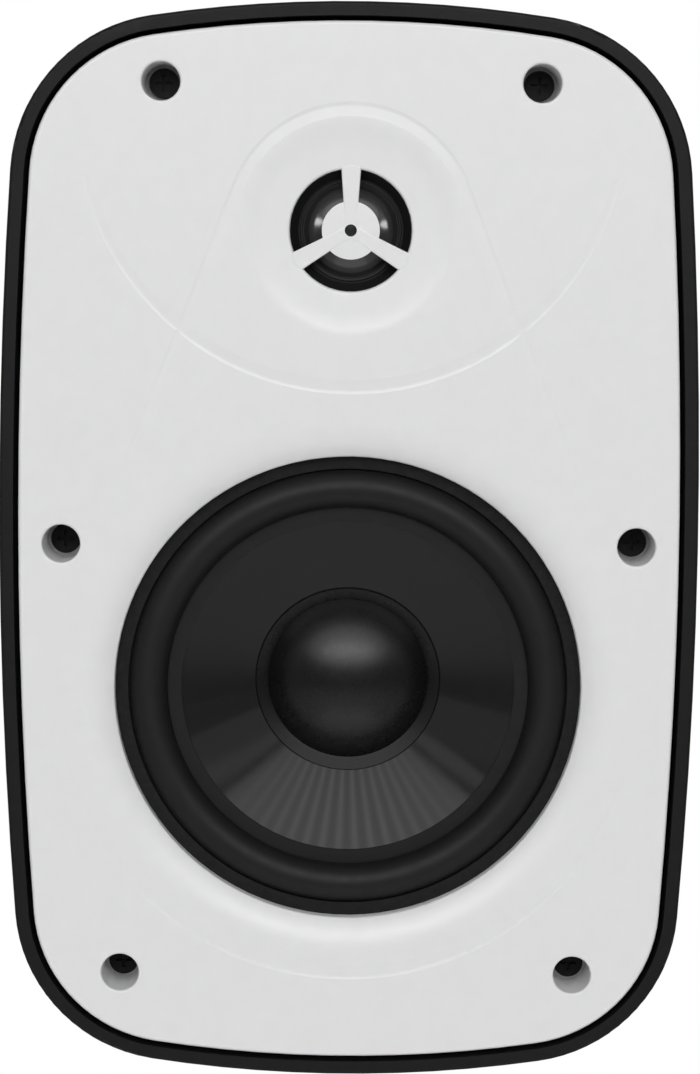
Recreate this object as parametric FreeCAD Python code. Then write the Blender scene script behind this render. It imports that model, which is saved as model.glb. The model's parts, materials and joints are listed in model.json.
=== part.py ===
"""Two-way wall speaker, in millimetres.

The frame has +Z up and the front facing -Y. The origin is the middle of the rear bolt pattern, on the
rear face. Depths are counted backwards from the front face.
"""
import FreeCAD, Part
import math
import os

V = FreeCAD.Vector

# Front outline: four long arcs joined by four corner arcs
WIDTH = 222.0
HEIGHT = 343.0
DEPTH = 200.0
SIDE_R = 1680.0
TOP_R = 420.0
CORNER_R = 52.0

# Cabinet shell
WALL = 3.5
REAR_WALL = 4.0
TAPER = 36.0
TAPER_POWER = 1.8
TAPER_SECTIONS = 6
REAR_EDGE_R = 9.0
RIM_W = 4.4
RIM_R = 1.2
GROOVE_W = 1.6
LEDGE_T = 4.0
LEDGE_LAP = 1.9
BOSS_R = 7.0
BOSS_L = 26.0
WEB_T = 3.0

# Baffle moulding
FACE_T = 3.0
FACE_EDGE_R = 1.2
SKIRT_T = 2.6
SKIRT_DEPTH = 14.0
SEAL_T = 1.5
WELL_R = 6.05
WELL_LIP_R = 0.8
WELL_DEPTH = 19.0
WELL_WALL = 2.0
WELL_FLOOR = 3.0
WELL_CLEAR = 0.5
WELL_TOP_IN = (51.5, 25.0)
WELL_SIDE_IN = 19.65
WELL_FLANGE_GAP = 3.6
WELL_BOTTOM_IN = (38.0, 33.5)

# Relief lines pressed into the baffle's face, gentle inside and steep outside, fading along their length
RELIEF_DEPTH = 0.32
RELIEF_IN_W = 3.2
RELIEF_OUT_W = 1.4
RELIEF_BULGE = 0.6
RELIEF_FRONT = 3.0
BOWL_LINE_R = 85.8
BOWL_LINE_Z = 136.4
BOWL_LINE_END_Z = 117.0
BOWL_LINE_FADE_Z = 165.0
ARCH_LINE_R = 38.6
ARCH_LINE_FADE_Z = 5.0
LOWER_LINE_R = 92.8
LOWER_LINE_FADE_Z = -61.0

# Self-tapping screws
SCREW_R = 2.0
SCREW_HEAD_R = 4.8
SCREW_HEAD_T = 3.2
SCREW_GRIP = 18.0
SMALL_SCREW_R = 1.5
SMALL_SCREW_HEAD_R = 3.2
SMALL_SCREW_HEAD_T = 2.0
RECESS_W = 1.1
RECESS_DEPTH = 1.4
RECESS_SHARE = 0.55
HOLE_CLEAR = 0.3
PILOT_CLEAR = 0.05

# Woofer
WOOFER_Z = -45.6
WOOFER_EDGE_R = 74.8
WOOFER_FLARE_W = 11.0
WOOFER_FLARE_R = 17.0
WOOFER_BRINK_R = 1.2
WOOFER_LIP_T = 3.0
WOOFER_SEAT_R = 92.0
WOOFER_SCREW_R = 86.5
WOOFER_SCREWS = 6
WOOFER_SCREW_GRIP = 4.5
FLANGE_R = 91.0
FLANGE_T = 3.0
FLANGE_STEP_R = 82.0
SURROUND_OUT_R = 70.4
SURROUND_IN_R = 58.1
SURROUND_LIP_R = 53.7
SURROUND_T = 0.8
WOOFER_GASKET_T = 2.0
GASKET_GAP = 0.3
CONE_T = 0.6
CONE_ANGLE = 30.0
CAP_R = 26.2
CAP_FLANGE_W = 3.7
CAP_HEIGHT = 10.4
CAP_T = 0.5
COIL_R = 19.0
FORMER_T = 0.3
WINDING_T = 0.8
WINDING_L = 14.0
COIL_GAP = 0.8
BASKET_T = 2.0
BASKET_THROAT_R = 72.0
LANDING_R = 54.0
LANDING_W = 8.0
LANDING_DEPTH = 42.0
BASKET_BACK_DEPTH = 56.0
BASKET_BACK_R = 44.0
BASKET_WINDOWS = 6
WINDOW_W = 40.0
WINDOW_MARGIN = 4.0
SPIDER_T = 0.5
SPIDER_WAVES = 4
SPIDER_WAVE_H = 1.6
SPIDER_COLLAR_W = 3.0
PLATE_R = 47.0
PLATE_T = 6.0
MAGNET_R = 50.0
MAGNET_HOLE_R = 27.0
MAGNET_T = 18.0
YOKE_R = 48.0
YOKE_T = 7.0
VENT_R = 6.0
TAG_STRIP_W = 18.0
TAG_STRIP_EDGE = 0.5
TAG_STRIP_T = 1.6
TAG_W = 2.8
TAG_L = 12.0
TAG_T = 0.6
TAG_PITCH = 10.0

# Tweeter
TWEETER_Z = 100.6
TWEETER_THROAT_R = 19.2
DISH_R = 33.3
DISH_EDGE_W = 7.0
DISH_EDGE_R = 32.0
DISH_LEAN = 2.0
THROAT_LIP_R = 1.0
TWEETER_SEAT_R = 43.0
GUARD_T = 2.0
GUARD_PROUD = 0.15
GUARD_EDGE_R = 0.5
GUARD_CLEAR = 1.0
HUB_R = 9.1
HUB_HOLE_R = 1.9
HUB_CROWN = 0.22
HUB_DROP = 0.02
SPOKE_IN_W = 3.5
SPOKE_OUT_W = 6.2
SPOKE_LAP = 1.5
SPOKE_END_RISE = 1.2
TWEETER_GASKET_T = 1.0
FACEPLATE_R = 42.0
FACEPLATE_HOLE_R = 16.6
FACEPLATE_MOUTH_R = 19.0
FACEPLATE_LAND = 0.8
FACEPLATE_T = 2.8
TWEETER_SCREW_R = 37.5
TWEETER_SCREWS = 3
TWEETER_SCREW_GRIP = 2.5
DOME_R = 14.8
DOME_HEIGHT = 4.8
DOME_T = 0.3
ROLL_OUT_R = 16.2
ROLL_FLANGE_R = 19.0
TWEETER_COIL_T = 0.4
TWEETER_COIL_L = 3.0
TWEETER_COIL_DROP = 2.6
TWEETER_GAP = 0.5
TWEETER_PLATE_R = 32.0
TWEETER_PLATE_T = 3.5
TWEETER_MAGNET_R = 35.0
TWEETER_MAGNET_HOLE_R = 17.0
TWEETER_MAGNET_T = 9.0
TWEETER_YOKE_T = 4.0

# Rear bolt pattern
INSERT_PITCH_X = 70.0
INSERT_PITCH_Z = 127.0
INSERT_R = 4.0
INSERT_HOLE_R = 2.5
INSERT_L = 12.0
INSERT_BOSS_R = 8.0
INSERT_BOSS_END = 3.0

# Crossover board on four standoffs inside the rear wall
BOARD_W = 50.0
BOARD_H = 102.0
BOARD_T = 1.6
BOARD_EDGE = 4.5
STANDOFF_R = 3.5
STANDOFF_H = 8.0
COIL_LARGE_R = 19.0
COIL_LARGE_L = 15.0
COIL_SMALL_R = 11.0
COIL_SMALL_L = 10.0
COIL_CORE_SHARE = 0.4
CAPACITOR_R = 6.0
CAPACITOR_L = 32.0
CAPACITOR_PITCH = 13.5
CAPACITORS = 2
RESISTOR_W = 9.0
RESISTOR_L = 24.0
PART_GAP = 1.5

# Terminal cup, sunk flush into the rear wall
TERMINAL_Z = -88.0
CUP_R = 26.5
CUP_WALL = 2.0
CUP_DEPTH = 24.0
CUP_FLOOR = 2.5
CUP_FLANGE_W = 7.5
CUP_FLANGE_T = 2.5
CUP_GASKET_T = 0.5
CUP_CLEAR = 0.3
CUP_RING_W = 4.0
CUP_RING_T = 3.0
CUP_SCREWS = 4
POST_PITCH = 19.0
STUD_R = 2.5
STUD_TAIL = 12.0
COLLAR_R = 6.0
COLLAR_T = 3.0
WIRE_HOLE_R = 1.2
THREAD_CLEAR = 0.05
SLEEVE_R = 4.0
SLEEVE_L = 9.0
POST_CAP_R = 6.5
POST_CAP_L = 15.0
POST_CAP_END_T = 2.0
POST_CAP_STEP = 1.0
FLUTES = 12
FLUTE_R = 0.8
NUT_R = 4.6
NUT_T = 3.0
STUD_TIP = 2.5


def dish_depth(radius):
    """Depth of the tweeter's dish: a nearly flat floor that curves up to its edge."""
    lean = math.radians(DISH_LEAN)
    floor_r = DISH_R - DISH_EDGE_W
    centre_r = floor_r - DISH_EDGE_R * math.sin(lean)
    bend_r = max(radius, floor_r)
    rise = math.sqrt(DISH_EDGE_R ** 2 - (DISH_R - centre_r) ** 2)
    curve = math.sqrt(DISH_EDGE_R ** 2 - (bend_r - centre_r) ** 2) - rise
    return curve + (bend_r - radius) * math.tan(lean)


# Depths that follow from the sizes above
LEDGE_D = SKIRT_DEPTH + SEAL_T
BAND = LEDGE_D + LEDGE_T
BOSS_D = WELL_DEPTH + WELL_FLOOR
REAR_INNER_D = DEPTH - REAR_WALL
BAFFLE_INSET = RIM_W + GROOVE_W
LEDGE_INSET = BAFFLE_INSET + SKIRT_T + LEDGE_LAP
FLARE_LEAN = math.asin((WOOFER_FLARE_W - WOOFER_BRINK_R) / (WOOFER_FLARE_R - WOOFER_BRINK_R))
FLARE_D = WOOFER_FLARE_R - (WOOFER_FLARE_R - WOOFER_BRINK_R) * math.cos(FLARE_LEAN)
WOOFER_SEAT_D = FLARE_D + WOOFER_LIP_T
SURROUND_D = WOOFER_SEAT_D + WOOFER_GASKET_T
CONE_D = SURROUND_D + SURROUND_T
FLANGE_BACK_D = CONE_D + FLANGE_T
PLATE_D = BASKET_BACK_DEPTH + BASKET_T
MAGNET_D = PLATE_D + PLATE_T
YOKE_D = MAGNET_D + MAGNET_T
FORMER_R = COIL_R + FORMER_T
WINDING_R = FORMER_R + WINDING_T
POLE_R = COIL_R - COIL_GAP
CONE_SLOPE = math.tan(math.radians(CONE_ANGLE))
GUARD_D = dish_depth(TWEETER_THROAT_R) - GUARD_PROUD
DOME_D = GUARD_D + GUARD_T + GUARD_CLEAR + DOME_HEIGHT
FACEPLATE_D = DOME_D - FACEPLATE_T
TWEETER_SEAT_D = FACEPLATE_D - TWEETER_GASKET_T
TWEETER_PLATE_D = DOME_D + DOME_T
TWEETER_MAGNET_D = TWEETER_PLATE_D + TWEETER_PLATE_T
TWEETER_YOKE_D = TWEETER_MAGNET_D + TWEETER_MAGNET_T
BOARD_BACK_D = REAR_INNER_D - STANDOFF_H
BOARD_FRONT_D = BOARD_BACK_D - BOARD_T
CUP_OUT_R = CUP_R + CUP_WALL
CUP_FLANGE_R = CUP_OUT_R + CUP_FLANGE_W
CUP_SCREW_R = CUP_OUT_R + CUP_FLANGE_W / 2
CUP_SEAT_D = DEPTH - CUP_FLANGE_T - CUP_GASKET_T
CUP_FLOOR_D = DEPTH - CUP_DEPTH
COLLAR_D = CUP_FLOOR_D + COLLAR_T


def at(x, depth, z):
    """Point at a depth behind the front face."""
    return V(x, depth - DEPTH, z)


def peg(radius, start, end, x=0.0, z=0.0):
    """Cylinder along the depth, from one depth to another."""
    return Part.makeCylinder(radius, end - start, at(x, start, z), V(0, 1, 0))


def tube(inner, outer, start, end, x=0.0, z=0.0):
    """Plain ring along the depth."""
    return peg(outer, start, end, x, z).cut(peg(inner, start, end, x, z))


def bar(x, z, start, end):
    """Upright box from (low, high) pairs across and up, between two depths."""
    return Part.makeBox(x[1] - x[0], end - start, z[1] - z[0], at(x[0], start, z[0]))


def run(points, place):
    """Closed wire of straight runs, or of arcs where a step is a (middle, end) pair of points."""
    edges = []
    here = points[0]
    for step in points[1:] + points[:1]:
        if isinstance(step[0], tuple):
            middle, there = step
            edges.append(Part.Arc(place(here), place(middle), place(there)).toShape())
        else:
            there = step
            edges.append(Part.LineSegment(place(here), place(there)).toShape())
        here = there
    return Part.Wire(edges)


def lathe(points, x=0.0, z=0.0):
    """Solid turned about a depth axis, from a section of (radius, depth) steps."""
    section = Part.Face(run(points, lambda p: at(x + p[0], p[1], z)))
    return section.revolve(V(x, 0, z), V(0, 1, 0), 360)


def around(shape, count, z, first=0.0):
    """Copies of a shape, evenly turned about a driver's axis."""
    copies = []
    for n in range(count):
        copy = shape.copy()
        copy.rotate(V(0, 0, z), V(0, 1, 0), first + 360.0 * n / count)
        copies.append(copy)
    return copies


def union(shapes):
    """One solid from several that meet."""
    whole = shapes[0]
    for shape in shapes[1:]:
        whole = whole.fuse(shape)
    return whole.removeSplitter()


def flat_edges(shape, depth):
    """Edges that lie in the plane at one depth."""
    y = depth - DEPTH
    return [e for e in shape.Edges if abs(e.BoundBox.YMin - y) < 0.01 and abs(e.BoundBox.YMax - y) < 0.01]


def well_places():
    """Both sides of each pair of baffle screw wells: top, beside the woofer's flange, and bottom."""
    side_x = WIDTH / 2 - WELL_SIDE_IN
    reach = FLANGE_R + WELL_FLANGE_GAP + WELL_R + WELL_WALL
    side_z = WOOFER_Z + math.sqrt(max(0.0, reach ** 2 - side_x ** 2))
    top = (WIDTH / 2 - WELL_TOP_IN[0], HEIGHT / 2 - WELL_TOP_IN[1])
    bottom = (WIDTH / 2 - WELL_BOTTOM_IN[0], WELL_BOTTOM_IN[1] - HEIGHT / 2)
    return [(side * x, z) for x, z in (top, (side_x, side_z), bottom) for side in (-1, 1)]


def corner_centre():
    """Centre of the upper right corner arc, which is tangent to the side arc and the top arc."""
    side = V(WIDTH / 2 - SIDE_R, 0, 0)
    top = V(0, 0, HEIGHT / 2 - TOP_R)
    reach = SIDE_R - CORNER_R
    gap = top - side
    along = (reach ** 2 - (TOP_R - CORNER_R) ** 2 + gap.Length ** 2) / (2 * gap.Length)
    across = math.sqrt(reach ** 2 - along ** 2)
    unit = gap / gap.Length
    return side, top, side + unit * along + V(-unit.z, 0, unit.x) * across


def outline(inset, depth):
    """Closed outline at a depth, drawn in evenly by an inset."""
    side_centre, top_centre, corner = corner_centre()
    to_side = (corner - side_centre).normalize()
    to_top = (corner - top_centre).normalize()
    to_knee = (to_side + to_top).normalize()
    side = side_centre + to_side * (SIDE_R - inset)
    top = top_centre + to_top * (TOP_R - inset)
    knee = corner + to_knee * (CORNER_R - inset)
    right = WIDTH / 2 - inset
    crown = HEIGHT / 2 - inset
    points = [
        (side.x, -side.z),
        ((right, 0.0), (side.x, side.z)),
        ((knee.x, knee.z), (top.x, top.z)),
        ((0.0, crown), (-top.x, top.z)),
        ((-knee.x, knee.z), (-side.x, side.z)),
        ((-right, 0.0), (-side.x, -side.z)),
        ((-knee.x, -knee.z), (-top.x, -top.z)),
        ((0.0, -crown), (top.x, -top.z)),
        ((knee.x, -knee.z), (side.x, -side.z)),
    ]
    edges = []
    here = points[0]
    for middle, there in points[1:]:
        ends = [at(p[0], depth, p[1]) for p in (here, middle, there)]
        edges.append(Part.Arc(*ends).toShape())
        here = there
    return Part.Wire(edges)


def slab(inset, start, end):
    """Straight block of the outline between two depths."""
    return Part.Face(outline(inset, start)).extrude(V(0, end - start, 0))


def tapered_body(wall, end):
    """Smooth body behind the straight front band, drawing in towards the rear."""
    wires = []
    for n in range(TAPER_SECTIONS):
        depth = BAND + (end - BAND) * n / (TAPER_SECTIONS - 1)
        share = (depth - BAND) / (DEPTH - BAND)
        wires.append(outline(TAPER * share ** TAPER_POWER + wall, depth))
    return Part.makeLoft(wires, True, False)


def screw(radius, grip, head_r, head_t, depth, x, z, way=1):
    """Pan-head screw with a cross recess, its head seated at a depth and its shank running the given way."""
    head_end = depth - way * head_t
    ends = sorted((depth, head_end))
    shank = sorted((depth, depth + way * grip))
    body = peg(head_r, *ends, x, z).fuse(peg(radius, *shank, x, z))
    floor = sorted((head_end, head_end + way * RECESS_DEPTH))
    arm = head_r * RECESS_SHARE
    half = RECESS_W / 2
    for x_half, z_half in ((arm, half), (half, arm)):
        body = body.cut(bar((x - x_half, x + x_half), (z - z_half, z + z_half), *floor))
    return body


def wall_boss(outer, x, z):
    """Screw boss behind a baffle well, with a web out to the nearest wall."""
    end = BOSS_D + BOSS_L
    boss = peg(BOSS_R, BOSS_D, end, x, z)
    if abs(x) / WIDTH > abs(z) / HEIGHT:
        reach = sorted((x, math.copysign(WIDTH / 2, x)))
        web = bar(reach, (z - WEB_T / 2, z + WEB_T / 2), BOSS_D, end)
    else:
        reach = sorted((z, math.copysign(HEIGHT / 2, z)))
        web = bar((x - WEB_T / 2, x + WEB_T / 2), reach, BOSS_D, end)
    return boss.fuse(web).common(outer)


def insert_places():
    """Corners of the rear bolt pattern."""
    return [(sx * INSERT_PITCH_X / 2, sz * INSERT_PITCH_Z / 2) for sx in (-1, 1) for sz in (-1, 1)]


def board_holes():
    """Corners where the crossover board is screwed down."""
    x = BOARD_W / 2 - BOARD_EDGE
    z = BOARD_H / 2 - BOARD_EDGE
    return [(sx * x, sz * z) for sx in (-1, 1) for sz in (-1, 1)]


def cup_screw_places():
    """Screws round the flange of the terminal cup."""
    places = []
    for n in range(CUP_SCREWS):
        angle = math.radians(360.0 * (n + 0.5) / CUP_SCREWS)
        places.append((CUP_SCREW_R * math.cos(angle), TERMINAL_Z + CUP_SCREW_R * math.sin(angle)))
    return places


def cabinet():
    """Moulded shell with its front rim, ledge, bosses, flush rear recess and holes."""
    outer = slab(0.0, 0.0, BAND).fuse(tapered_body(0.0, DEPTH)).removeSplitter()
    outer = outer.makeFillet(REAR_EDGE_R, flat_edges(outer, DEPTH))
    outer = outer.makeFillet(RIM_R, flat_edges(outer, 0.0))
    shell = outer.cut(slab(RIM_W, 0.0, LEDGE_D))
    shell = shell.cut(slab(LEDGE_INSET, LEDGE_D, BAND))
    shell = shell.cut(tapered_body(WALL, REAR_INNER_D))
    for x, z in well_places():
        shell = shell.cut(peg(WELL_R + WELL_WALL + WELL_CLEAR, LEDGE_D, BOSS_D, x, z))
    added = [wall_boss(outer, x, z) for x, z in well_places()]
    for x, z in insert_places():
        added.append(peg(INSERT_BOSS_R, DEPTH - INSERT_L - INSERT_BOSS_END, REAR_INNER_D, x, z))
    for x, z in board_holes():
        added.append(peg(STANDOFF_R, BOARD_BACK_D, REAR_INNER_D, x, z))
    ring_r = CUP_FLANGE_R + CUP_RING_W
    added.append(peg(ring_r, REAR_INNER_D - CUP_RING_T, REAR_INNER_D, 0.0, TERMINAL_Z))
    for piece in added:
        shell = shell.fuse(piece)
    shell = shell.cut(peg(CUP_FLANGE_R + CUP_CLEAR, CUP_SEAT_D, DEPTH, 0.0, TERMINAL_Z))
    shell = shell.cut(peg(CUP_OUT_R + CUP_CLEAR, BOARD_BACK_D, DEPTH, 0.0, TERMINAL_Z))
    for x, z in well_places():
        shell = shell.cut(peg(SCREW_R + PILOT_CLEAR, BOSS_D, BOSS_D + SCREW_GRIP, x, z))
    for x, z in insert_places():
        shell = shell.cut(peg(INSERT_R, DEPTH - INSERT_L, DEPTH, x, z))
    for x, z in board_holes():
        shell = shell.cut(peg(SMALL_SCREW_R + PILOT_CLEAR, BOARD_BACK_D, REAR_INNER_D, x, z))
    for x, z in cup_screw_places():
        hole_end = REAR_INNER_D - CUP_RING_T
        shell = shell.cut(peg(SMALL_SCREW_R + PILOT_CLEAR, hole_end, DEPTH, x, z))
    return shell.removeSplitter()


def mount_inserts():
    """Threaded brass inserts, flush with the rear face."""
    start = DEPTH - INSERT_L
    return [tube(INSERT_HOLE_R, INSERT_R, start, DEPTH, x, z) for x, z in insert_places()]


def tilted(shape, deep_z, fade_z):
    """Lean a relief tool so that its line runs out of the face at the fade height."""
    rise = math.degrees(math.atan(RELIEF_DEPTH / (fade_z - deep_z)))
    shape.rotate(at(0, 0, deep_z), V(1, 0, 0), rise)
    return shape


def relief_section(place):
    """Section of a relief tool, gentle on the inside and steep on the outside."""
    front = -RELIEF_FRONT
    section = [
        (-RELIEF_IN_W, front),
        (-RELIEF_IN_W, 0.0),
        (0.0, RELIEF_DEPTH),
        ((RELIEF_OUT_W / 2, RELIEF_DEPTH * RELIEF_BULGE), (RELIEF_OUT_W, 0.0)),
        (RELIEF_OUT_W, front),
    ]
    return run(section, place)


def relief_ring(radius, centre_z, deep_z, fade_z):
    """Ring-shaped tool for a curved relief line."""
    section = Part.Face(relief_section(lambda p: at(radius + p[0], p[1], centre_z)))
    ring = section.revolve(V(0, 0, centre_z), V(0, 1, 0), 360)
    return tilted(ring, deep_z, fade_z)


def relief_bowl():
    """Tool for the bowl-shaped line under the tweeter, which stops short at both upper ends."""
    ring = relief_ring(BOWL_LINE_R, BOWL_LINE_Z, BOWL_LINE_Z - BOWL_LINE_R, BOWL_LINE_FADE_Z)
    lower = bar((-WIDTH / 2, WIDTH / 2), (-HEIGHT / 2, BOWL_LINE_END_Z), -HEIGHT, DEPTH)
    return ring.common(lower)


def relief_arch():
    """Tool for the line that arches over the tweeter and runs down beside the woofer."""
    lean = math.asin((LOWER_LINE_R - ARCH_LINE_R) / (TWEETER_Z - WOOFER_Z))
    start = (ARCH_LINE_R * math.cos(lean), TWEETER_Z + ARCH_LINE_R * math.sin(lean))
    fall = (start[1] - WOOFER_Z) / math.cos(lean)
    foot = (start[0] + fall * math.sin(lean), WOOFER_Z)
    crown = (0.0, TWEETER_Z + ARCH_LINE_R)
    points = [at(sx * p[0], 0.0, p[1]) for sx, p in ((-1, foot), (-1, start), (1, start), (1, foot))]
    path = Part.Wire([
        Part.LineSegment(points[0], points[1]).toShape(),
        Part.Arc(points[1], at(crown[0], 0.0, crown[1]), points[2]).toShape(),
        Part.LineSegment(points[2], points[3]).toShape(),
    ])
    outward = V(-math.cos(lean), 0, math.sin(lean))
    section = relief_section(lambda p: points[0] + outward * p[0] + V(0, p[1], 0))
    return tilted(path.makePipeShell([section], True, False), crown[1], ARCH_LINE_FADE_Z)


def tweeter_guard():
    """Crowned hub and three widening, round-ended spokes, let into the dish in front of the dome."""
    front = GUARD_D
    back = front + GUARD_T
    reach = TWEETER_THROAT_R + SPOKE_LAP
    half_in = SPOKE_IN_W / 2
    half_out = SPOKE_OUT_W / 2
    shoulder = reach - SPOKE_END_RISE
    corners = [(-half_in, 0.0), (half_in, 0.0), (half_out, shoulder), ((0.0, reach), (-half_out, shoulder))]
    wire = run(corners, lambda p: at(p[0], front, TWEETER_Z + p[1]))
    spoke = Part.Face(wire).extrude(V(0, GUARD_T, 0))
    spoke = spoke.makeFillet(GUARD_EDGE_R, flat_edges(spoke, front))
    apex = front + HUB_DROP
    hub = lathe([(0.0, apex), dome_arc(HUB_R, HUB_CROWN, apex), (HUB_R, back), (0.0, back)], z=TWEETER_Z)
    body = union([hub] + around(spoke, 3, TWEETER_Z))
    return body.cut(peg(HUB_HOLE_R, front, back, 0.0, TWEETER_Z))


def driver_pilots(body, radius, count, first, depth, grip, z):
    """Blind holes for the screws that hold a driver from behind."""
    hole = peg(SMALL_SCREW_R + PILOT_CLEAR, depth - grip, depth, 0.0, z + radius)
    for tool in around(hole, count, z, first):
        body = body.cut(tool)
    return body


def flare_point(centre_r, centre_d, radius, lean):
    """Point of a rounded edge whose surface leans inwards by an angle."""
    return centre_r - radius * math.sin(lean), centre_d - radius * math.cos(lean)


def baffle():
    """White front moulding: face, skirt, wells, woofer flare, tweeter dish and relief lines."""
    body = slab(BAFFLE_INSET, 0.0, SKIRT_DEPTH)
    body = body.makeFillet(FACE_EDGE_R, flat_edges(body, 0.0))
    body = body.cut(slab(BAFFLE_INSET + SKIRT_T, FACE_T, SKIRT_DEPTH))
    body = body.fuse(peg(WOOFER_SEAT_R, FACE_T / 2, WOOFER_SEAT_D, 0.0, WOOFER_Z))
    body = body.fuse(peg(TWEETER_SEAT_R, FACE_T / 2, TWEETER_SEAT_D, 0.0, TWEETER_Z))
    well_out_r = WELL_R + WELL_WALL
    for x, z in well_places():
        body = body.fuse(peg(well_out_r, FACE_T / 2, BOSS_D, x, z))
    body = body.removeSplitter()

    lip = WELL_LIP_R
    slant = lip * (1 - math.sqrt(0.5))
    for x, z in well_places():
        mouth = ((WELL_R + slant, slant), (WELL_R, lip))
        bore = [(0.0, 0.0), (WELL_R + lip, 0.0), mouth, (WELL_R, WELL_DEPTH), (0.0, WELL_DEPTH)]
        body = body.cut(lathe(bore, x, z))
        body = body.cut(peg(SCREW_R + HOLE_CLEAR, WELL_DEPTH, BOSS_D, x, z))

    edge = WOOFER_EDGE_R
    rim = edge + WOOFER_FLARE_W
    brink_r = edge + WOOFER_BRINK_R
    bend = flare_point(rim, WOOFER_FLARE_R, WOOFER_FLARE_R, FLARE_LEAN)
    mouth = [
        (0.0, 0.0),
        (rim, 0.0),
        (flare_point(rim, WOOFER_FLARE_R, WOOFER_FLARE_R, FLARE_LEAN / 2), bend),
        (flare_point(brink_r, FLARE_D, WOOFER_BRINK_R, (FLARE_LEAN + math.pi / 2) / 2), (edge, FLARE_D)),
        (edge, WOOFER_SEAT_D),
        (0.0, WOOFER_SEAT_D),
    ]
    body = body.cut(lathe(mouth, z=WOOFER_Z))

    lip = THROAT_LIP_R
    slant = lip * (1 - math.sqrt(0.5))
    throat = TWEETER_THROAT_R
    brink = dish_depth(throat + lip)
    floor_r = DISH_R - DISH_EDGE_W
    half_r = DISH_R - DISH_EDGE_W / 2
    dish = [
        (0.0, 0.0),
        (DISH_R, 0.0),
        ((half_r, dish_depth(half_r)), (floor_r, dish_depth(floor_r))),
        (throat + lip, brink),
        ((throat + slant, brink + slant), (throat, brink + lip)),
        (throat, TWEETER_SEAT_D),
        (0.0, TWEETER_SEAT_D),
    ]
    body = body.cut(lathe(dish, z=TWEETER_Z))
    body = body.cut(tweeter_guard())

    body = body.cut(relief_bowl())
    body = body.cut(relief_ring(LOWER_LINE_R, WOOFER_Z, WOOFER_Z - LOWER_LINE_R, LOWER_LINE_FADE_Z))
    body = body.cut(relief_arch())
    body = driver_pilots(body, WOOFER_SCREW_R, WOOFER_SCREWS, 0.0, WOOFER_SEAT_D, WOOFER_SCREW_GRIP, WOOFER_Z)
    body = driver_pilots(body, TWEETER_SCREW_R, TWEETER_SCREWS, 60.0, TWEETER_SEAT_D, TWEETER_SCREW_GRIP,
                         TWEETER_Z)
    return body.removeSplitter()


def baffle_gasket():
    """Foam ring between the skirt and the ledge."""
    return slab(BAFFLE_INSET, SKIRT_DEPTH, LEDGE_D).cut(slab(BAFFLE_INSET + SKIRT_T, SKIRT_DEPTH, LEDGE_D))


def baffle_screws():
    """Screws at the bottoms of the wells."""
    grip = WELL_FLOOR + SCREW_GRIP
    return [screw(SCREW_R, grip, SCREW_HEAD_R, SCREW_HEAD_T, WELL_DEPTH, x, z) for x, z in well_places()]


def woofer_gasket():
    """Ring that clamps the surround's edge, seen as the flat black rim."""
    inner = SURROUND_OUT_R + GASKET_GAP
    return tube(inner, FLANGE_STEP_R - GASKET_GAP, WOOFER_SEAT_D, SURROUND_D, z=WOOFER_Z)


def half_roll(lip_out, roll_out, roll_in, lip_in, thickness, depth, z):
    """Half-round roll between two flat lips, bulging forwards."""
    middle = (roll_out + roll_in) / 2
    radius = (roll_out - roll_in) / 2
    back = depth + thickness
    section = [
        (lip_out, depth),
        (roll_out, depth),
        ((middle, depth - radius), (roll_in, depth)),
        (lip_in, depth),
        (lip_in, back),
        (roll_in + thickness, back),
        (roll_in + thickness, depth),
        ((middle, depth - radius + thickness), (roll_out - thickness, depth)),
        (roll_out - thickness, back),
        (lip_out, back),
    ]
    return lathe(section, z=z)


def woofer_surround():
    """Rubber half-roll between the basket and the cone."""
    lip_out = FLANGE_STEP_R - GASKET_GAP
    return half_roll(lip_out, SURROUND_OUT_R, SURROUND_IN_R, SURROUND_LIP_R, SURROUND_T, SURROUND_D, WOOFER_Z)


def cone_depth(radius):
    """Depth of the cone's front surface at a radius."""
    return CONE_D + (SURROUND_LIP_R - radius) * CONE_SLOPE


def woofer_cone():
    """Straight-sided cone with a flat rim under the surround's inner lip."""
    neck = cone_depth(FORMER_R)
    section = [
        (SURROUND_IN_R, CONE_D),
        (SURROUND_LIP_R, CONE_D),
        (FORMER_R, neck),
        (FORMER_R, neck + CONE_T / math.cos(math.radians(CONE_ANGLE))),
        (SURROUND_LIP_R, CONE_D + CONE_T),
        (SURROUND_IN_R, CONE_D + CONE_T),
    ]
    return lathe(section, z=WOOFER_Z)


def dome_arc(radius, height, apex):
    """Middle and end of a spherical cap's section, from its apex out to its rim."""
    sphere = (radius ** 2 + height ** 2) / (2 * height)
    half = math.asin(radius / sphere) / 2
    return (sphere * math.sin(half), apex + sphere * (1 - math.cos(half))), (radius, apex + height)


def woofer_dust_cap():
    """Domed cap with a narrow flange glued to the cone."""
    rim = CAP_R + CAP_FLANGE_W
    lift = CAP_T / math.cos(math.radians(CONE_ANGLE))
    apex = cone_depth(CAP_R) - lift - CAP_HEIGHT
    inner_rim = (CAP_R - CAP_T, cone_depth(CAP_R))
    inner_apex = apex + CAP_T
    inner_middle, _ = dome_arc(inner_rim[0], inner_rim[1] - inner_apex, inner_apex)
    section = [
        (0.0, apex),
        dome_arc(CAP_R, CAP_HEIGHT, apex),
        (rim, cone_depth(rim) - lift),
        (rim, cone_depth(rim)),
        (CAP_R, cone_depth(CAP_R)),
        inner_rim,
        (inner_middle, (0.0, inner_apex)),
    ]
    return lathe(section, z=WOOFER_Z)


def winding_start():
    """Front end of the winding, which is centred on the top plate."""
    return PLATE_D + PLATE_T / 2 - WINDING_L / 2


def woofer_coil_former():
    """Thin tube that carries the voice coil."""
    end = winding_start() + WINDING_L + FORMER_T
    return tube(COIL_R, FORMER_R, cone_depth(FORMER_R), end, z=WOOFER_Z)


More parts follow.
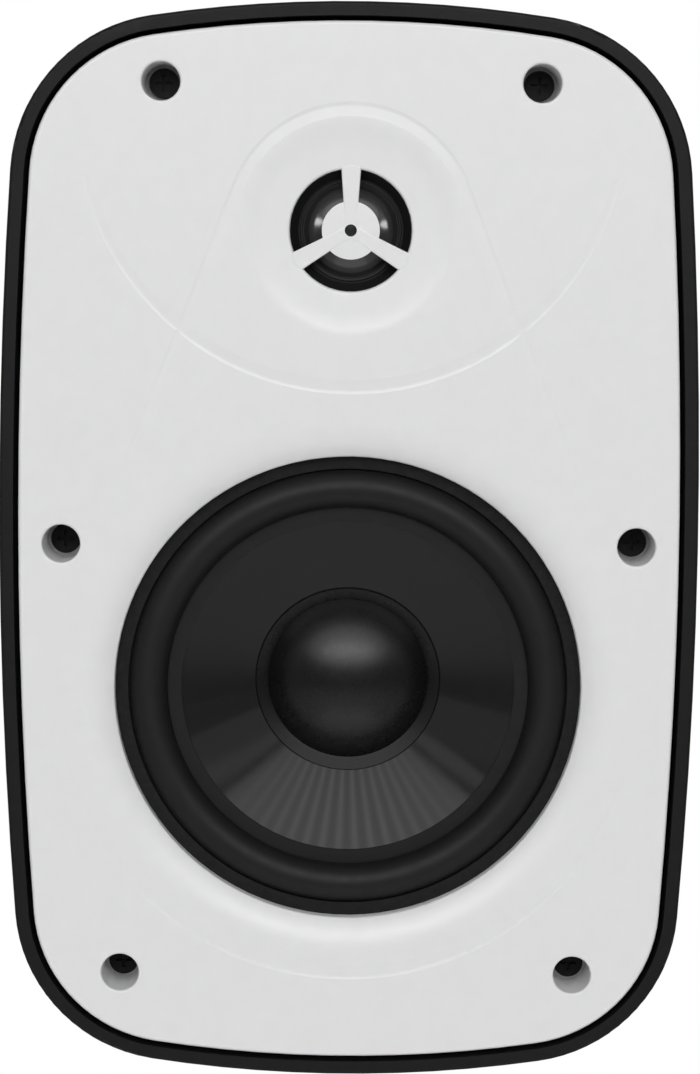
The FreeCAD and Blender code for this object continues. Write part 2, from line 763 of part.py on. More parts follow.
def woofer_coil():
    """Voice coil winding round the former."""
    start = winding_start()
    return tube(FORMER_R, WINDING_R, start, start + WINDING_L, z=WOOFER_Z)


def woofer_spider():
    """Corrugated suspension between the former and the basket's landing."""
    back = LANDING_DEPTH
    front = back - SPIDER_T
    wave_out = LANDING_R - LANDING_W
    wave_in = FORMER_R + SPIDER_COLLAR_W
    step = (wave_out - wave_in) / (2 * SPIDER_WAVES)
    front_run = [(LANDING_R, front), (wave_out, front)]
    back_run = [(FORMER_R, back), (wave_in, back)]
    for n in range(2 * SPIDER_WAVES):
        swing = SPIDER_WAVE_H * (-1) ** n
        out = wave_out - n * step
        front_run += [(out - step / 2, front - swing), (out - step, front)]
        inward = wave_in + n * step
        back_run += [(inward + step / 2, back + swing), (inward + step, back)]
    return lathe(front_run + [(FORMER_R, front)] + back_run + [(LANDING_R, back)], z=WOOFER_Z)


def woofer_basket():
    """Frame with a stepped flange, windowed cone wall, spider landing and back plate."""
    t = BASKET_T
    wall_start = FLANGE_BACK_D
    landing_in = LANDING_R - LANDING_W
    section = [
        (BASKET_THROAT_R, CONE_D),
        (FLANGE_STEP_R, CONE_D),
        (FLANGE_STEP_R, WOOFER_SEAT_D),
        (FLANGE_R, WOOFER_SEAT_D),
        (FLANGE_R, FLANGE_BACK_D),
        (BASKET_THROAT_R + t, wall_start),
        (LANDING_R + t, LANDING_DEPTH),
        (LANDING_R + t, LANDING_DEPTH + t),
        (landing_in + t, LANDING_DEPTH + t),
        (BASKET_BACK_R + t, BASKET_BACK_DEPTH + t),
        (WINDING_R + COIL_GAP, BASKET_BACK_DEPTH + t),
        (WINDING_R + COIL_GAP, BASKET_BACK_DEPTH),
        (BASKET_BACK_R, BASKET_BACK_DEPTH),
        (landing_in, LANDING_DEPTH),
        (LANDING_R, LANDING_DEPTH),
        (BASKET_THROAT_R, wall_start),
    ]
    body = lathe(section, z=WOOFER_Z)
    top = (WOOFER_Z + LANDING_R - LANDING_W, WOOFER_Z + FLANGE_R)
    start = FLANGE_BACK_D + WINDOW_MARGIN
    window = bar((-WINDOW_W / 2, WINDOW_W / 2), top, start, LANDING_DEPTH - WINDOW_MARGIN)
    for tool in around(window, BASKET_WINDOWS, WOOFER_Z, 180.0 / BASKET_WINDOWS):
        body = body.cut(tool)
    hole = peg(SMALL_SCREW_R + HOLE_CLEAR, WOOFER_SEAT_D, FLANGE_BACK_D, 0.0, WOOFER_Z + WOOFER_SCREW_R)
    for tool in around(hole, WOOFER_SCREWS, WOOFER_Z):
        body = body.cut(tool)
    return body


def woofer_screws():
    """Screws that hold the woofer's flange to the back of the baffle."""
    grip = WOOFER_SCREW_GRIP + FLANGE_BACK_D - WOOFER_SEAT_D
    one = screw(SMALL_SCREW_R, grip, SMALL_SCREW_HEAD_R, SMALL_SCREW_HEAD_T, FLANGE_BACK_D, 0.0,
                WOOFER_Z + WOOFER_SCREW_R, -1)
    return around(one, WOOFER_SCREWS, WOOFER_Z)


def woofer_top_plate():
    """Front pole plate behind the basket."""
    return tube(WINDING_R + COIL_GAP, PLATE_R, PLATE_D, MAGNET_D, z=WOOFER_Z)


def woofer_magnet():
    """Ferrite ring."""
    return tube(MAGNET_HOLE_R, MAGNET_R, MAGNET_D, YOKE_D, z=WOOFER_Z)


def woofer_yoke():
    """Back plate with its vented centre pole."""
    end = YOKE_D + YOKE_T
    body = peg(YOKE_R, YOKE_D, end, 0.0, WOOFER_Z).fuse(peg(POLE_R, PLATE_D, YOKE_D, 0.0, WOOFER_Z))
    return body.cut(peg(VENT_R, PLATE_D, end, 0.0, WOOFER_Z)).removeSplitter()


def woofer_tag_strip():
    """Insulating strip behind the spider landing with two solder tags."""
    start = LANDING_DEPTH + BASKET_T
    high = WOOFER_Z + LANDING_R + BASKET_T
    low = high - LANDING_W + TAG_STRIP_EDGE
    half = TAG_STRIP_W / 2
    strip = bar((-half, half), (low, high), start, start + TAG_STRIP_T)
    tag_start = start + TAG_STRIP_T
    for side in (-1, 1):
        x = side * TAG_PITCH / 2
        tag = bar((x - TAG_W / 2, x + TAG_W / 2), (low + TAG_W, low + TAG_W + TAG_L), tag_start,
                  tag_start + TAG_T)
        strip = strip.fuse(tag)
    return strip


def tweeter_gasket():
    """Foam ring between the tweeter and the baffle."""
    inner = TWEETER_THROAT_R + THROAT_LIP_R
    outer = TWEETER_SCREW_R - SMALL_SCREW_HEAD_R
    return tube(inner, outer, TWEETER_SEAT_D, FACEPLATE_D, z=TWEETER_Z)


def tweeter_faceplate():
    """Moulded plate with a short funnel, which carries the dome."""
    section = [
        (FACEPLATE_MOUTH_R, FACEPLATE_D),
        (FACEPLATE_R, FACEPLATE_D),
        (FACEPLATE_R, DOME_D),
        (FACEPLATE_HOLE_R, DOME_D),
        (FACEPLATE_HOLE_R, DOME_D - FACEPLATE_LAND),
    ]
    body = lathe(section, z=TWEETER_Z)
    pad_in = TWEETER_SCREW_R - SMALL_SCREW_HEAD_R
    pad = tube(pad_in, FACEPLATE_R, TWEETER_SEAT_D, FACEPLATE_D, z=TWEETER_Z)
    body = body.fuse(pad).removeSplitter()
    hole = peg(SMALL_SCREW_R + HOLE_CLEAR, TWEETER_SEAT_D, DOME_D, 0.0, TWEETER_Z + TWEETER_SCREW_R)
    for tool in around(hole, TWEETER_SCREWS, TWEETER_Z, 60.0):
        body = body.cut(tool)
    return body


def tweeter_screws():
    """Screws that hold the tweeter to the back of the baffle."""
    grip = TWEETER_SCREW_GRIP + DOME_D - TWEETER_SEAT_D
    one = screw(SMALL_SCREW_R, grip, SMALL_SCREW_HEAD_R, SMALL_SCREW_HEAD_T, DOME_D, 0.0,
                TWEETER_Z + TWEETER_SCREW_R, -1)
    return around(one, TWEETER_SCREWS, TWEETER_Z, 60.0)


def tweeter_surround():
    """Small half-roll round the dome, clamped behind the faceplate."""
    return half_roll(ROLL_FLANGE_R, ROLL_OUT_R, DOME_R + DOME_T, DOME_R, DOME_T, DOME_D, TWEETER_Z)


def tweeter_dome():
    """Thin dome with a short skirt for the coil."""
    apex = DOME_D - DOME_HEIGHT
    inner_r = DOME_R - DOME_T
    skirt_end = DOME_D + TWEETER_COIL_DROP + TWEETER_COIL_L
    inner_middle, _ = dome_arc(inner_r, DOME_HEIGHT - DOME_T, apex + DOME_T)
    section = [
        (0.0, apex),
        dome_arc(DOME_R, DOME_HEIGHT, apex),
        (DOME_R, skirt_end),
        (inner_r, skirt_end),
        (inner_r, DOME_D),
        (inner_middle, (0.0, apex + DOME_T)),
    ]
    return lathe(section, z=TWEETER_Z)


def tweeter_coil():
    """Voice coil wound on the dome's skirt."""
    start = DOME_D + TWEETER_COIL_DROP
    return tube(DOME_R, DOME_R + TWEETER_COIL_T, start, start + TWEETER_COIL_L, z=TWEETER_Z)


def tweeter_top_plate():
    """Front pole plate, bored for the coil."""
    bore = DOME_R + TWEETER_COIL_T + TWEETER_GAP
    return tube(bore, TWEETER_PLATE_R, TWEETER_PLATE_D, TWEETER_MAGNET_D, z=TWEETER_Z)


def tweeter_magnet():
    """Ferrite ring."""
    return tube(TWEETER_MAGNET_HOLE_R, TWEETER_MAGNET_R, TWEETER_MAGNET_D, TWEETER_YOKE_D, z=TWEETER_Z)


def tweeter_yoke():
    """Back plate with its centre pole."""
    plate = peg(TWEETER_PLATE_R, TWEETER_YOKE_D, TWEETER_YOKE_D + TWEETER_YOKE_T, 0.0, TWEETER_Z)
    pole = peg(DOME_R - DOME_T - TWEETER_GAP, TWEETER_PLATE_D, TWEETER_YOKE_D, 0.0, TWEETER_Z)
    return plate.fuse(pole).removeSplitter()


def crossover_board():
    """Circuit board on the rear wall's standoffs."""
    body = bar((-BOARD_W / 2, BOARD_W / 2), (-BOARD_H / 2, BOARD_H / 2), BOARD_FRONT_D, BOARD_BACK_D)
    for x, z in board_holes():
        body = body.cut(peg(SMALL_SCREW_R + HOLE_CLEAR, BOARD_FRONT_D, BOARD_BACK_D, x, z))
    return body


def crossover_screws():
    """Screws that hold the board."""
    grip = BOARD_T + STANDOFF_H
    return [screw(SMALL_SCREW_R, grip, SMALL_SCREW_HEAD_R, SMALL_SCREW_HEAD_T, BOARD_FRONT_D, x, z)
            for x, z in board_holes()]


def large_coil_z():
    """Height of the large inductor on the board, clear of the upper screws."""
    return BOARD_H / 2 - BOARD_EDGE - SMALL_SCREW_HEAD_R - PART_GAP - COIL_LARGE_R


def small_coil_z():
    """Height of the small inductor, below the large one."""
    return large_coil_z() - COIL_LARGE_R - PART_GAP - COIL_SMALL_R


def crossover_inductors():
    """Two air-core coils standing on the board."""
    small_x = COIL_SMALL_R - BOARD_W / 2 + PART_GAP
    places = ((COIL_LARGE_R, COIL_LARGE_L, 0.0, large_coil_z()),
              (COIL_SMALL_R, COIL_SMALL_L, small_x, small_coil_z()))
    return [tube(r * COIL_CORE_SHARE, r, BOARD_FRONT_D - length, BOARD_FRONT_D, x, z)
            for r, length, x, z in places]


def crossover_capacitors():
    """Film capacitors lying across the board."""
    first = small_coil_z() - COIL_SMALL_R - PART_GAP - CAPACITOR_R
    bodies = []
    for n in range(CAPACITORS):
        start = at(-CAPACITOR_L / 2, BOARD_FRONT_D - CAPACITOR_R, first - n * CAPACITOR_PITCH)
        bodies.append(Part.makeCylinder(CAPACITOR_R, CAPACITOR_L, start, V(1, 0, 0)))
    return bodies


def crossover_resistors():
    """Cement resistor beside the small inductor."""
    x = BOARD_W / 2 - PART_GAP
    z = small_coil_z()
    return [bar((x - RESISTOR_W, x), (z - RESISTOR_L / 2, z + RESISTOR_L / 2), BOARD_FRONT_D - RESISTOR_W,
                BOARD_FRONT_D)]


def terminal_cup():
    """Round recessed cup with a screw flange."""
    section = [
        (0.0, CUP_FLOOR_D - CUP_FLOOR),
        (CUP_OUT_R, CUP_FLOOR_D - CUP_FLOOR),
        (CUP_OUT_R, DEPTH - CUP_FLANGE_T),
        (CUP_FLANGE_R, DEPTH - CUP_FLANGE_T),
        (CUP_FLANGE_R, DEPTH),
        (CUP_R, DEPTH),
        (CUP_R, CUP_FLOOR_D),
        (0.0, CUP_FLOOR_D),
    ]
    body = lathe(section, z=TERMINAL_Z)
    for x in post_places():
        body = body.cut(peg(STUD_R + HOLE_CLEAR, CUP_FLOOR_D - CUP_FLOOR, CUP_FLOOR_D, x, TERMINAL_Z))
    for x, z in cup_screw_places():
        body = body.cut(peg(SMALL_SCREW_R + HOLE_CLEAR, DEPTH - CUP_FLANGE_T, DEPTH, x, z))
        sink = DEPTH - CUP_FLANGE_T / 2
        body = body.cut(peg(SMALL_SCREW_HEAD_R + HOLE_CLEAR, sink, DEPTH, x, z))
    return body


def terminal_gasket():
    """Thin ring under the cup's flange."""
    body = tube(CUP_OUT_R + CUP_CLEAR, CUP_FLANGE_R, CUP_SEAT_D, DEPTH - CUP_FLANGE_T, z=TERMINAL_Z)
    for x, z in cup_screw_places():
        body = body.cut(peg(SMALL_SCREW_R + HOLE_CLEAR, CUP_SEAT_D, DEPTH - CUP_FLANGE_T, x, z))
    return body


def terminal_screws():
    """Screws through the cup's flange, their heads sunk below the rear face."""
    seat = DEPTH - CUP_FLANGE_T / 2
    grip = seat - (REAR_INNER_D - CUP_RING_T)
    return [screw(SMALL_SCREW_R, grip, SMALL_SCREW_HEAD_R, CUP_FLANGE_T / 2, seat, x, z, -1)
            for x, z in cup_screw_places()]


def post_places():
    """Sideways places of the negative and the positive post."""
    return (-POST_PITCH / 2, POST_PITCH / 2)


def binding_post(x):
    """Brass stud with a fixed collar on the cup's floor and a cross hole for bare wire."""
    tip = COLLAR_D + SLEEVE_L + STUD_TIP
    body = peg(STUD_R, CUP_FLOOR_D - STUD_TAIL, tip, x, TERMINAL_Z)
    body = body.fuse(peg(COLLAR_R, CUP_FLOOR_D, COLLAR_D, x, TERMINAL_Z)).removeSplitter()
    start = at(x, COLLAR_D + 2 * WIRE_HOLE_R, TERMINAL_Z - COLLAR_R)
    return body.cut(Part.makeCylinder(WIRE_HOLE_R, 2 * COLLAR_R, start, V(0, 0, 1)))


def post_nuts():
    """Hexagon nuts that hold the posts from inside."""
    end = CUP_FLOOR_D - CUP_FLOOR
    nuts = []
    for x in post_places():
        corners = []
        for n in range(6):
            angle = math.radians(60.0 * n)
            corners.append((x + NUT_R * math.cos(angle), TERMINAL_Z + NUT_R * math.sin(angle)))
        wire = run(corners, lambda p: at(p[0], end - NUT_T, p[1]))
        nut = Part.Face(wire).extrude(V(0, NUT_T, 0))
        nuts.append(nut.cut(peg(STUD_R + THREAD_CLEAR, end - NUT_T, end, x, TERMINAL_Z)))
    return nuts


def cap_sleeve(x):
    """Brass sleeve that runs on the stud's thread inside a cap."""
    inner = STUD_R + THREAD_CLEAR
    return tube(inner, SLEEVE_R, COLLAR_D, COLLAR_D + SLEEVE_L, x, TERMINAL_Z)


def post_cap(x):
    """Fluted plastic cap with its closed end facing out."""
    bore = SLEEVE_R + THREAD_CLEAR
    end = COLLAR_D + POST_CAP_L
    shoulder = COLLAR_D + SLEEVE_L
    section = [
        (bore, COLLAR_D),
        (POST_CAP_R, COLLAR_D),
        (POST_CAP_R, end - POST_CAP_STEP),
        (POST_CAP_R - POST_CAP_STEP, end),
        (0.0, end),
        (0.0, end - POST_CAP_END_T),
        (SLEEVE_R - POST_CAP_STEP, end - POST_CAP_END_T),
        (SLEEVE_R - POST_CAP_STEP, shoulder),
        (bore, shoulder),
    ]
    body = lathe(section, x, TERMINAL_Z)
    for n in range(FLUTES):
        angle = math.radians(360.0 * n / FLUTES)
        flute_x = x + POST_CAP_R * math.cos(angle)
        flute_z = TERMINAL_Z + POST_CAP_R * math.sin(angle)
        body = body.cut(peg(FLUTE_R, COLLAR_D + POST_CAP_STEP, end, flute_x, flute_z))
    return body


def parts():
    """Every piece by name."""
    negative, positive = post_places()
    return {
        "cabinet": cabinet(),
        "mount_inserts": mount_inserts(),
        "baffle": baffle(),
        "tweeter_guard": tweeter_guard(),
        "baffle_gasket": baffle_gasket(),
        "baffle_screws": baffle_screws(),
        "woofer_gasket": woofer_gasket(),
        "woofer_surround": woofer_surround(),
        "woofer_cone": woofer_cone(),
        "woofer_dust_cap": woofer_dust_cap(),
        "woofer_coil_former": woofer_coil_former(),
        "woofer_coil": woofer_coil(),
        "woofer_spider": woofer_spider(),
        "woofer_basket": woofer_basket(),
        "woofer_screws": woofer_screws(),
        "woofer_top_plate": woofer_top_plate(),
        "woofer_magnet": woofer_magnet(),
        "woofer_yoke": woofer_yoke(),
        "woofer_tag_strip": woofer_tag_strip(),
        "tweeter_gasket": tweeter_gasket(),
        "tweeter_faceplate": tweeter_faceplate(),
        "tweeter_screws": tweeter_screws(),
        "tweeter_surround": tweeter_surround(),
        "tweeter_dome": tweeter_dome(),
        "tweeter_coil": tweeter_coil(),
        "tweeter_top_plate": tweeter_top_plate(),
        "tweeter_magnet": tweeter_magnet(),
        "tweeter_yoke": tweeter_yoke(),
        "crossover_board": crossover_board(),
        "crossover_screws": crossover_screws(),
        "crossover_inductors": crossover_inductors(),
        "crossover_capacitors": crossover_capacitors(),
        "crossover_resistors": crossover_resistors(),
        "terminal_cup": terminal_cup(),
        "terminal_gasket": terminal_gasket(),
        "terminal_screws": terminal_screws(),
        "post_negative": binding_post(negative),
        "post_positive": binding_post(positive),
        "post_nuts": post_nuts(),
        "cap_sleeve_negative": cap_sleeve(negative),
        "cap_sleeve_positive": cap_sleeve(positive),
        "cap_negative": post_cap(negative),
        "cap_positive": post_cap(positive),
    }


os.makedirs("parts", exist_ok=True)
for name, shape in parts().items():
    if isinstance(shape, list):
        shape = Part.makeCompound(shape)
    shape.exportStep(f"parts/{name}.step")
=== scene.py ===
"""Dresses a packed two-way wall speaker: its mouldings, drivers, screws and terminals, in a plain studio."""
import json
import math

import bmesh
import bpy
from bpy.props import FloatProperty, FloatVectorProperty, IntProperty, PointerProperty
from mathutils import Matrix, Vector

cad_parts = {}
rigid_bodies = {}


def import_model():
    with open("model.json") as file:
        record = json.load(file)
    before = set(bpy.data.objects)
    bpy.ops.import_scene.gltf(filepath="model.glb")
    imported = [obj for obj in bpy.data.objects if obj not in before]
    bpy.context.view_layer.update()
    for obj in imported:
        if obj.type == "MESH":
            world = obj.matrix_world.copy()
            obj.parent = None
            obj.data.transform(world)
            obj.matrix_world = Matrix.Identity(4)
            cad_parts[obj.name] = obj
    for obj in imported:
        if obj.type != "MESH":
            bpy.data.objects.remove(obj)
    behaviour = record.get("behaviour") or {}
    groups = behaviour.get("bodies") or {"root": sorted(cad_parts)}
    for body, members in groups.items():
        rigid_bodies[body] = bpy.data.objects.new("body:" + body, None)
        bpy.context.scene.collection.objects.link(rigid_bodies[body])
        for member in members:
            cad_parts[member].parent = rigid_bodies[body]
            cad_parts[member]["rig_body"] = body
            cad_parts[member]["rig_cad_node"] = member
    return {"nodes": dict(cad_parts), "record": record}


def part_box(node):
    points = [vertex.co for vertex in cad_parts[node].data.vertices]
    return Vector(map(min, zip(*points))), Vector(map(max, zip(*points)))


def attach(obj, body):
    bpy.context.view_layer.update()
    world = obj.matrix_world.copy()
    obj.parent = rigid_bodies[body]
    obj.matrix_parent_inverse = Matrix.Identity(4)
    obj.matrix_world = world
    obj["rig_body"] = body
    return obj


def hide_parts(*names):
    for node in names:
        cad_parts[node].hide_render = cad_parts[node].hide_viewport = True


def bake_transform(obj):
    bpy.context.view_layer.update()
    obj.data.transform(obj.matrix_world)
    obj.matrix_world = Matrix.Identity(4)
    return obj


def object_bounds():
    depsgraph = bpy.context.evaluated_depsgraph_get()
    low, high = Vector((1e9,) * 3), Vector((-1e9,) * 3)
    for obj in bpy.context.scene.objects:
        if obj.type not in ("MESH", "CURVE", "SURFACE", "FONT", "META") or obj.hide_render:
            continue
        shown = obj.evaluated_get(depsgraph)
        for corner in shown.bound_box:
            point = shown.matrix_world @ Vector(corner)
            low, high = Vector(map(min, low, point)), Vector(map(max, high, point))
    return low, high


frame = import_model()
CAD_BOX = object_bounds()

bl_info = {
    "name": "Wall speaker dressing",
    "version": (1, 0, 0),
    "blender": (4, 5, 0),
    "location": "3D View > Sidebar > Speaker",
    "description": "Models and finishes the pieces of a two-way wall speaker around its packed frame",
    "category": "Object",
}

MM = 0.001
TURN = 2 * math.pi


def middle(node):
    """Centre of a node's box."""
    low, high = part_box(node)
    return (low + high) / 2


def span(node):
    """Half the width of a round node."""
    low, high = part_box(node)
    return (high.x - low.x) / 2


# Places that the frame gives: driver centres, radii and depths
FRONT_Y = CAD_BOX[0].y
WOOFER_Z = middle("woofer_gasket").z
GASKET_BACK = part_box("woofer_gasket")[1].y
CONE_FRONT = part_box("woofer_cone")[0].y
CONE_RIM_R = span("woofer_cone")
NECK_R = span("woofer_coil_former")
NECK_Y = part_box("woofer_coil_former")[0].y
CAP_RIM_R = span("woofer_dust_cap")
CAP_APEX_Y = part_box("woofer_dust_cap")[0].y
SURROUND_R = span("woofer_surround")
TWEETER_Z = middle("tweeter_dome").z
DOME_R = span("tweeter_dome")
DOME_APEX_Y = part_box("tweeter_dome")[0].y
DOME_SKIRT_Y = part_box("tweeter_dome")[1].y
DOME_BASE_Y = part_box("tweeter_faceplate")[1].y
ROLL_R = span("tweeter_surround")
BODY_OF = {name: node["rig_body"] for name, node in frame["nodes"].items()}
SLOT_OF = {row["node"]: row["material_slot"] for row in frame["record"]["subparts"]}

# Limits for meshes: points closer than these are merged, and edges sharper than these angles stay crisp
TURNED_WELD = 1e-7
COPY_WELD = 1e-6
EDGE_DEGREES = 32
FINE_EDGE_DEGREES = 20
# A face whose normal has at most this y lies in the flat front face
FLAT_NORMAL_Y = -0.999999

# Patches of colour and of gloss are this many grains wide
MOTTLE_GRAINS = 12
GLOSS_GRAINS = 5

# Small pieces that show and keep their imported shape
FITTINGS = ("terminal_cup", "terminal_screws", "post_negative", "post_positive", "cap_negative",
            "cap_positive", "mount_inserts", "woofer_gasket", "baffle_screws", "tweeter_faceplate")

# Lamps, as seen from the front's middle: azimuths and elevations in degrees. Each side panel's last number is
# its share of the side brightness
SIDE_PANELS = {
    "left_strip": ((-50, -46.8), (17, 28), 1.5),
    "left_fill": ((-58, -50), (-2, 28), 0.42),
    "right_strip": ((46.8, 50), (10, 28), 1.2),
    "right_fill": ((50, 58), (5, 28), 0.55),
}
SIDE_DISTANCE = 3.0
GLINT_LAMPS = {
    "left_glint": ((-60, -42), (7.5, 17)),
    "right_glint": ((44, 62), (4.5, 14)),
}
GLINT_DISTANCE = 6.0
REFLECTOR_SIZE = (1.6, 0.95)
REFLECTOR_LIFT = 0.02
FLOOR_SIZE = 40.0
BACKDROP_SIZE = 14.0
PALE = (0.8, 0.8, 0.8)
WHITE = (1, 1, 1, 1)


def length(name, words, value):
    """Length property with its default."""
    return FloatProperty(name=name, description=words, default=value, unit="LENGTH", precision=5)


def tilt(name, words, degrees):
    """Angle property with its default."""
    return FloatProperty(name=name, description=words, default=math.radians(degrees), subtype="ANGLE")


def level(name, words, value):
    """Plain number property with its default."""
    return FloatProperty(name=name, description=words, default=value)


def count(name, words, value):
    """Whole number property with its default."""
    return IntProperty(name=name, description=words, default=value)


def colour(name, words, value):
    """Colour property with its default."""
    return FloatVectorProperty(name=name, description=words, default=value, subtype="COLOR", min=0, max=1)


class WooferSizes(bpy.types.PropertyGroup):
    """Sizes of the woofer's visible pieces."""
    cone_wall: length("Cone wall", "Thickness of the cone", 0.6 * MM)
    cone_lip: length("Cone lip", "Radius where the cone starts to fall", 53.7 * MM)
    cone_sides: count("Cone sides", "Sides of the cone's rings", 288)
    cone_steps: count("Cone steps", "Steps down the cone", 14)
    roll_outer: length("Roll outer", "Outer radius of the surround's roll", 70.4 * MM)
    roll_inner: length("Roll inner", "Inner radius of the surround's roll", 58.1 * MM)
    roll_sides: count("Roll sides", "Sides of the surround's rings", 256)
    roll_steps: count("Roll steps", "Steps over the surround's roll", 24)
    surround_wall: length("Surround wall", "Thickness of the rubber", 0.8 * MM)
    cap_radius: length("Cap radius", "Radius of the dust cap's dome", 26.2 * MM)
    cap_wall: length("Cap wall", "Thickness of the dust cap", 0.5 * MM)
    cap_sides: count("Cap sides", "Sides of the dust cap's rings", 192)
    cap_steps: count("Cap steps", "Steps up the dust cap", 28)


class TweeterSizes(bpy.types.PropertyGroup):
    """Sizes of the tweeter's visible pieces."""
    dome_wall: length("Dome wall", "Thickness of the dome and its roll", 0.3 * MM)
    dome_steps: count("Dome steps", "Steps up the dome", 20)
    roll_outer: length("Roll outer", "Outer radius of the dome's roll", 16.2 * MM)
    roll_inner: length("Roll inner", "Inner radius of the dome's roll", 15.1 * MM)
    roll_steps: count("Roll steps", "Steps over the dome's roll", 14)
    sides: count("Sides", "Sides of the dome's and the roll's rings", 128)


class ReliefReach(bpy.types.PropertyGroup):
    """Where the front's shallow relief lines lie."""
    depth: length("Depth", "A relief line is nowhere deeper than this", 0.34 * MM)
    dish_reach: length("Dish reach", "The lines stay this far from the tweeter's axis", 34.0 * MM)
    flare_reach: length("Flare reach", "The lines stay this far from the woofer's axis", 88.0 * MM)
    side_reach: length("Side reach", "The lines stay this near to the middle plane", 97.0 * MM)


class FinishColours(bpy.types.PropertyGroup):
    """Colours of the main finishes."""
    front: colour("Front", "Satin white of the front moulding", (0.76, 0.76, 0.765))
    shell: colour("Shell", "Black of the textured cabinet", (0.007, 0.007, 0.0073))
    rubber: colour("Rubber", "Black of the surround", (0.0095, 0.0095, 0.0098))
    cone: colour("Cone", "Black of the moulded cone", (0.008, 0.008, 0.0085))
    cap: colour("Dust cap", "Black of the dust cap", (0.003, 0.003, 0.0035))
    dome: colour("Dome", "Black of the tweeter's dome and its roll", (0.017, 0.017, 0.0175))
    steel: colour("Screws", "Black oxide of the screws", (0.003, 0.003, 0.003))


class StageSizes(bpy.types.PropertyGroup):
    """Camera, light and room."""
    camera_distance: length("Camera distance", "From the front face to the camera", 0.850)
    camera_height: length("Camera height", "Above the middle of the front", 0.098)
    camera_shift: length("Camera offset", "Camera beside the speaker's middle plane", 0.4 * MM)
    camera_pitch: tilt("Camera pitch", "Downward tilt", 6.312)
    camera_roll: tilt("Camera roll", "Turn about the view axis", 0.39)
    lens: FloatProperty(name="Lens", description="Focal length", default=90.37, unit="CAMERA")
    floor_drop: length("Floor drop", "Floor below the mount's height", 1.45)
    backdrop: length("Backdrop", "Backdrop behind the rear face", 3.2)
    ambient: level("Ambient", "Plain light from the room", 0.25)
    key: level("Key", "Brightness of the big tube bank", 1.62)
    tubes: count("Tubes", "Upright tubes behind the tube bank's cloth", 18)
    core: level("Core", "Brightness that the middle of the key light adds", 3.0)
    side: level("Side panels", "Brightness that the side panels take their shares of", 0.56)
    glint: level("Glint lamps", "Brightness of the two lamps that light the dome alone", 11.0)
    reflector: length("Reflector", "Middle of the floor's reflector before the front face", 1.33)
    bounce: level("Bounce", "Brightness of the reflector on the floor", 0.5)
    rear: level("Rear", "Brightness of the panel behind the speaker", 1.2)


# Making pieces: selection, rings, thickness, smoothing and the node that each piece stands for

def deselect():
    """Leave nothing selected and nothing in edit mode."""
    if bpy.context.object and bpy.context.object.mode != "OBJECT":
        bpy.ops.object.mode_set(mode="OBJECT")
    bpy.ops.object.select_all(action="DESELECT")


def activate(piece):
    """Make one piece the only one selected."""
    deselect()
    piece.select_set(True)
    bpy.context.view_layer.objects.active = piece


def turned(name, z, rings, sides):
    """Surface turned about a depth axis: a circle extruded ring by ring through (radius, y) steps."""
    deselect()
    radius, y = rings[0]
    bpy.ops.mesh.primitive_circle_add(vertices=sides, radius=radius, location=(0, y, z),
                                      rotation=(math.pi / 2, 0, 0))
    piece = bpy.context.active_object
    piece.name = name
    piece.data.name = name
    bpy.ops.object.transform_apply(location=True, rotation=True, scale=True)
    bpy.ops.object.mode_set(mode="EDIT")
    bpy.ops.mesh.select_all(action="SELECT")
    for next_radius, next_y in rings[1:]:
        bpy.ops.mesh.extrude_region_move(TRANSFORM_OT_translate={"value": (0, next_y - y, 0)})
        if next_radius == 0:
            bpy.ops.mesh.merge(type="CENTER")
        else:
            share = next_radius / radius
            bpy.ops.transform.resize(value=(share, 1, share), center_override=(0, next_y, z))
        radius, y = next_radius, next_y
    bpy.ops.mesh.select_all(action="SELECT")
    bpy.ops.mesh.remove_doubles(threshold=TURNED_WELD)
    bpy.ops.mesh.normals_make_consistent(inside=False)
    bpy.ops.object.mode_set(mode="OBJECT")
    return piece


def face_front(piece):
    """Turn an open surface so that its faces look towards the front."""
    lean = sum(face.normal.y * face.area for face in piece.data.polygons)
    if lean > 0:
        activate(piece)
        bpy.ops.object.mode_set(mode="EDIT")
        bpy.ops.mesh.select_all(action="SELECT")
        bpy.ops.mesh.flip_normals()
        bpy.ops.object.mode_set(mode="OBJECT")


def thicken(piece, wall):
    """Give an open surface a wall behind its front."""
    face_front(piece)
    activate(piece)
    solidify = piece.modifiers.new("Wall", "SOLIDIFY")
    solidify.thickness = wall
    solidify.offset = -1
    solidify.use_even_offset = True
    bpy.ops.object.modifier_apply(modifier=solidify.name)


def smooth(piece, degrees):
    """Smooth shading, broken at edges sharper than an angle."""
    activate(piece)
    bpy.ops.object.shade_smooth_by_angle(angle=math.radians(degrees))


def turned_shell(name, z, rings, sides, wall, degrees=EDGE_DEGREES):
    """Turned surface with a wall, smoothly shaded."""
    piece = turned(name, z, rings, sides)
    thicken(piece, wall)
    smooth(piece, degrees)
    return piece


def arc(centre_r, centre_y, radius, start, end, steps):
    """Rings on an arc, by angles from the front towards the outside, in degrees."""
    rings = []
    for n in range(steps + 1):
        angle = math.radians(start + (end - start) * n / steps)
        rings.append((centre_r + radius * math.sin(angle), centre_y - radius * math.cos(angle)))
    return rings


def dome(rim_r, apex_y, rim_y, steps):
    """Rings of a spherical cap from its rim to its apex."""
    height = rim_y - apex_y
    sphere = (rim_r ** 2 + height ** 2) / (2 * height)
    full = math.degrees(math.asin(rim_r / sphere))
    rings = arc(0.0, apex_y + sphere, sphere, full, 0.0, steps)
    return rings[:-1] + [(0.0, apex_y)]


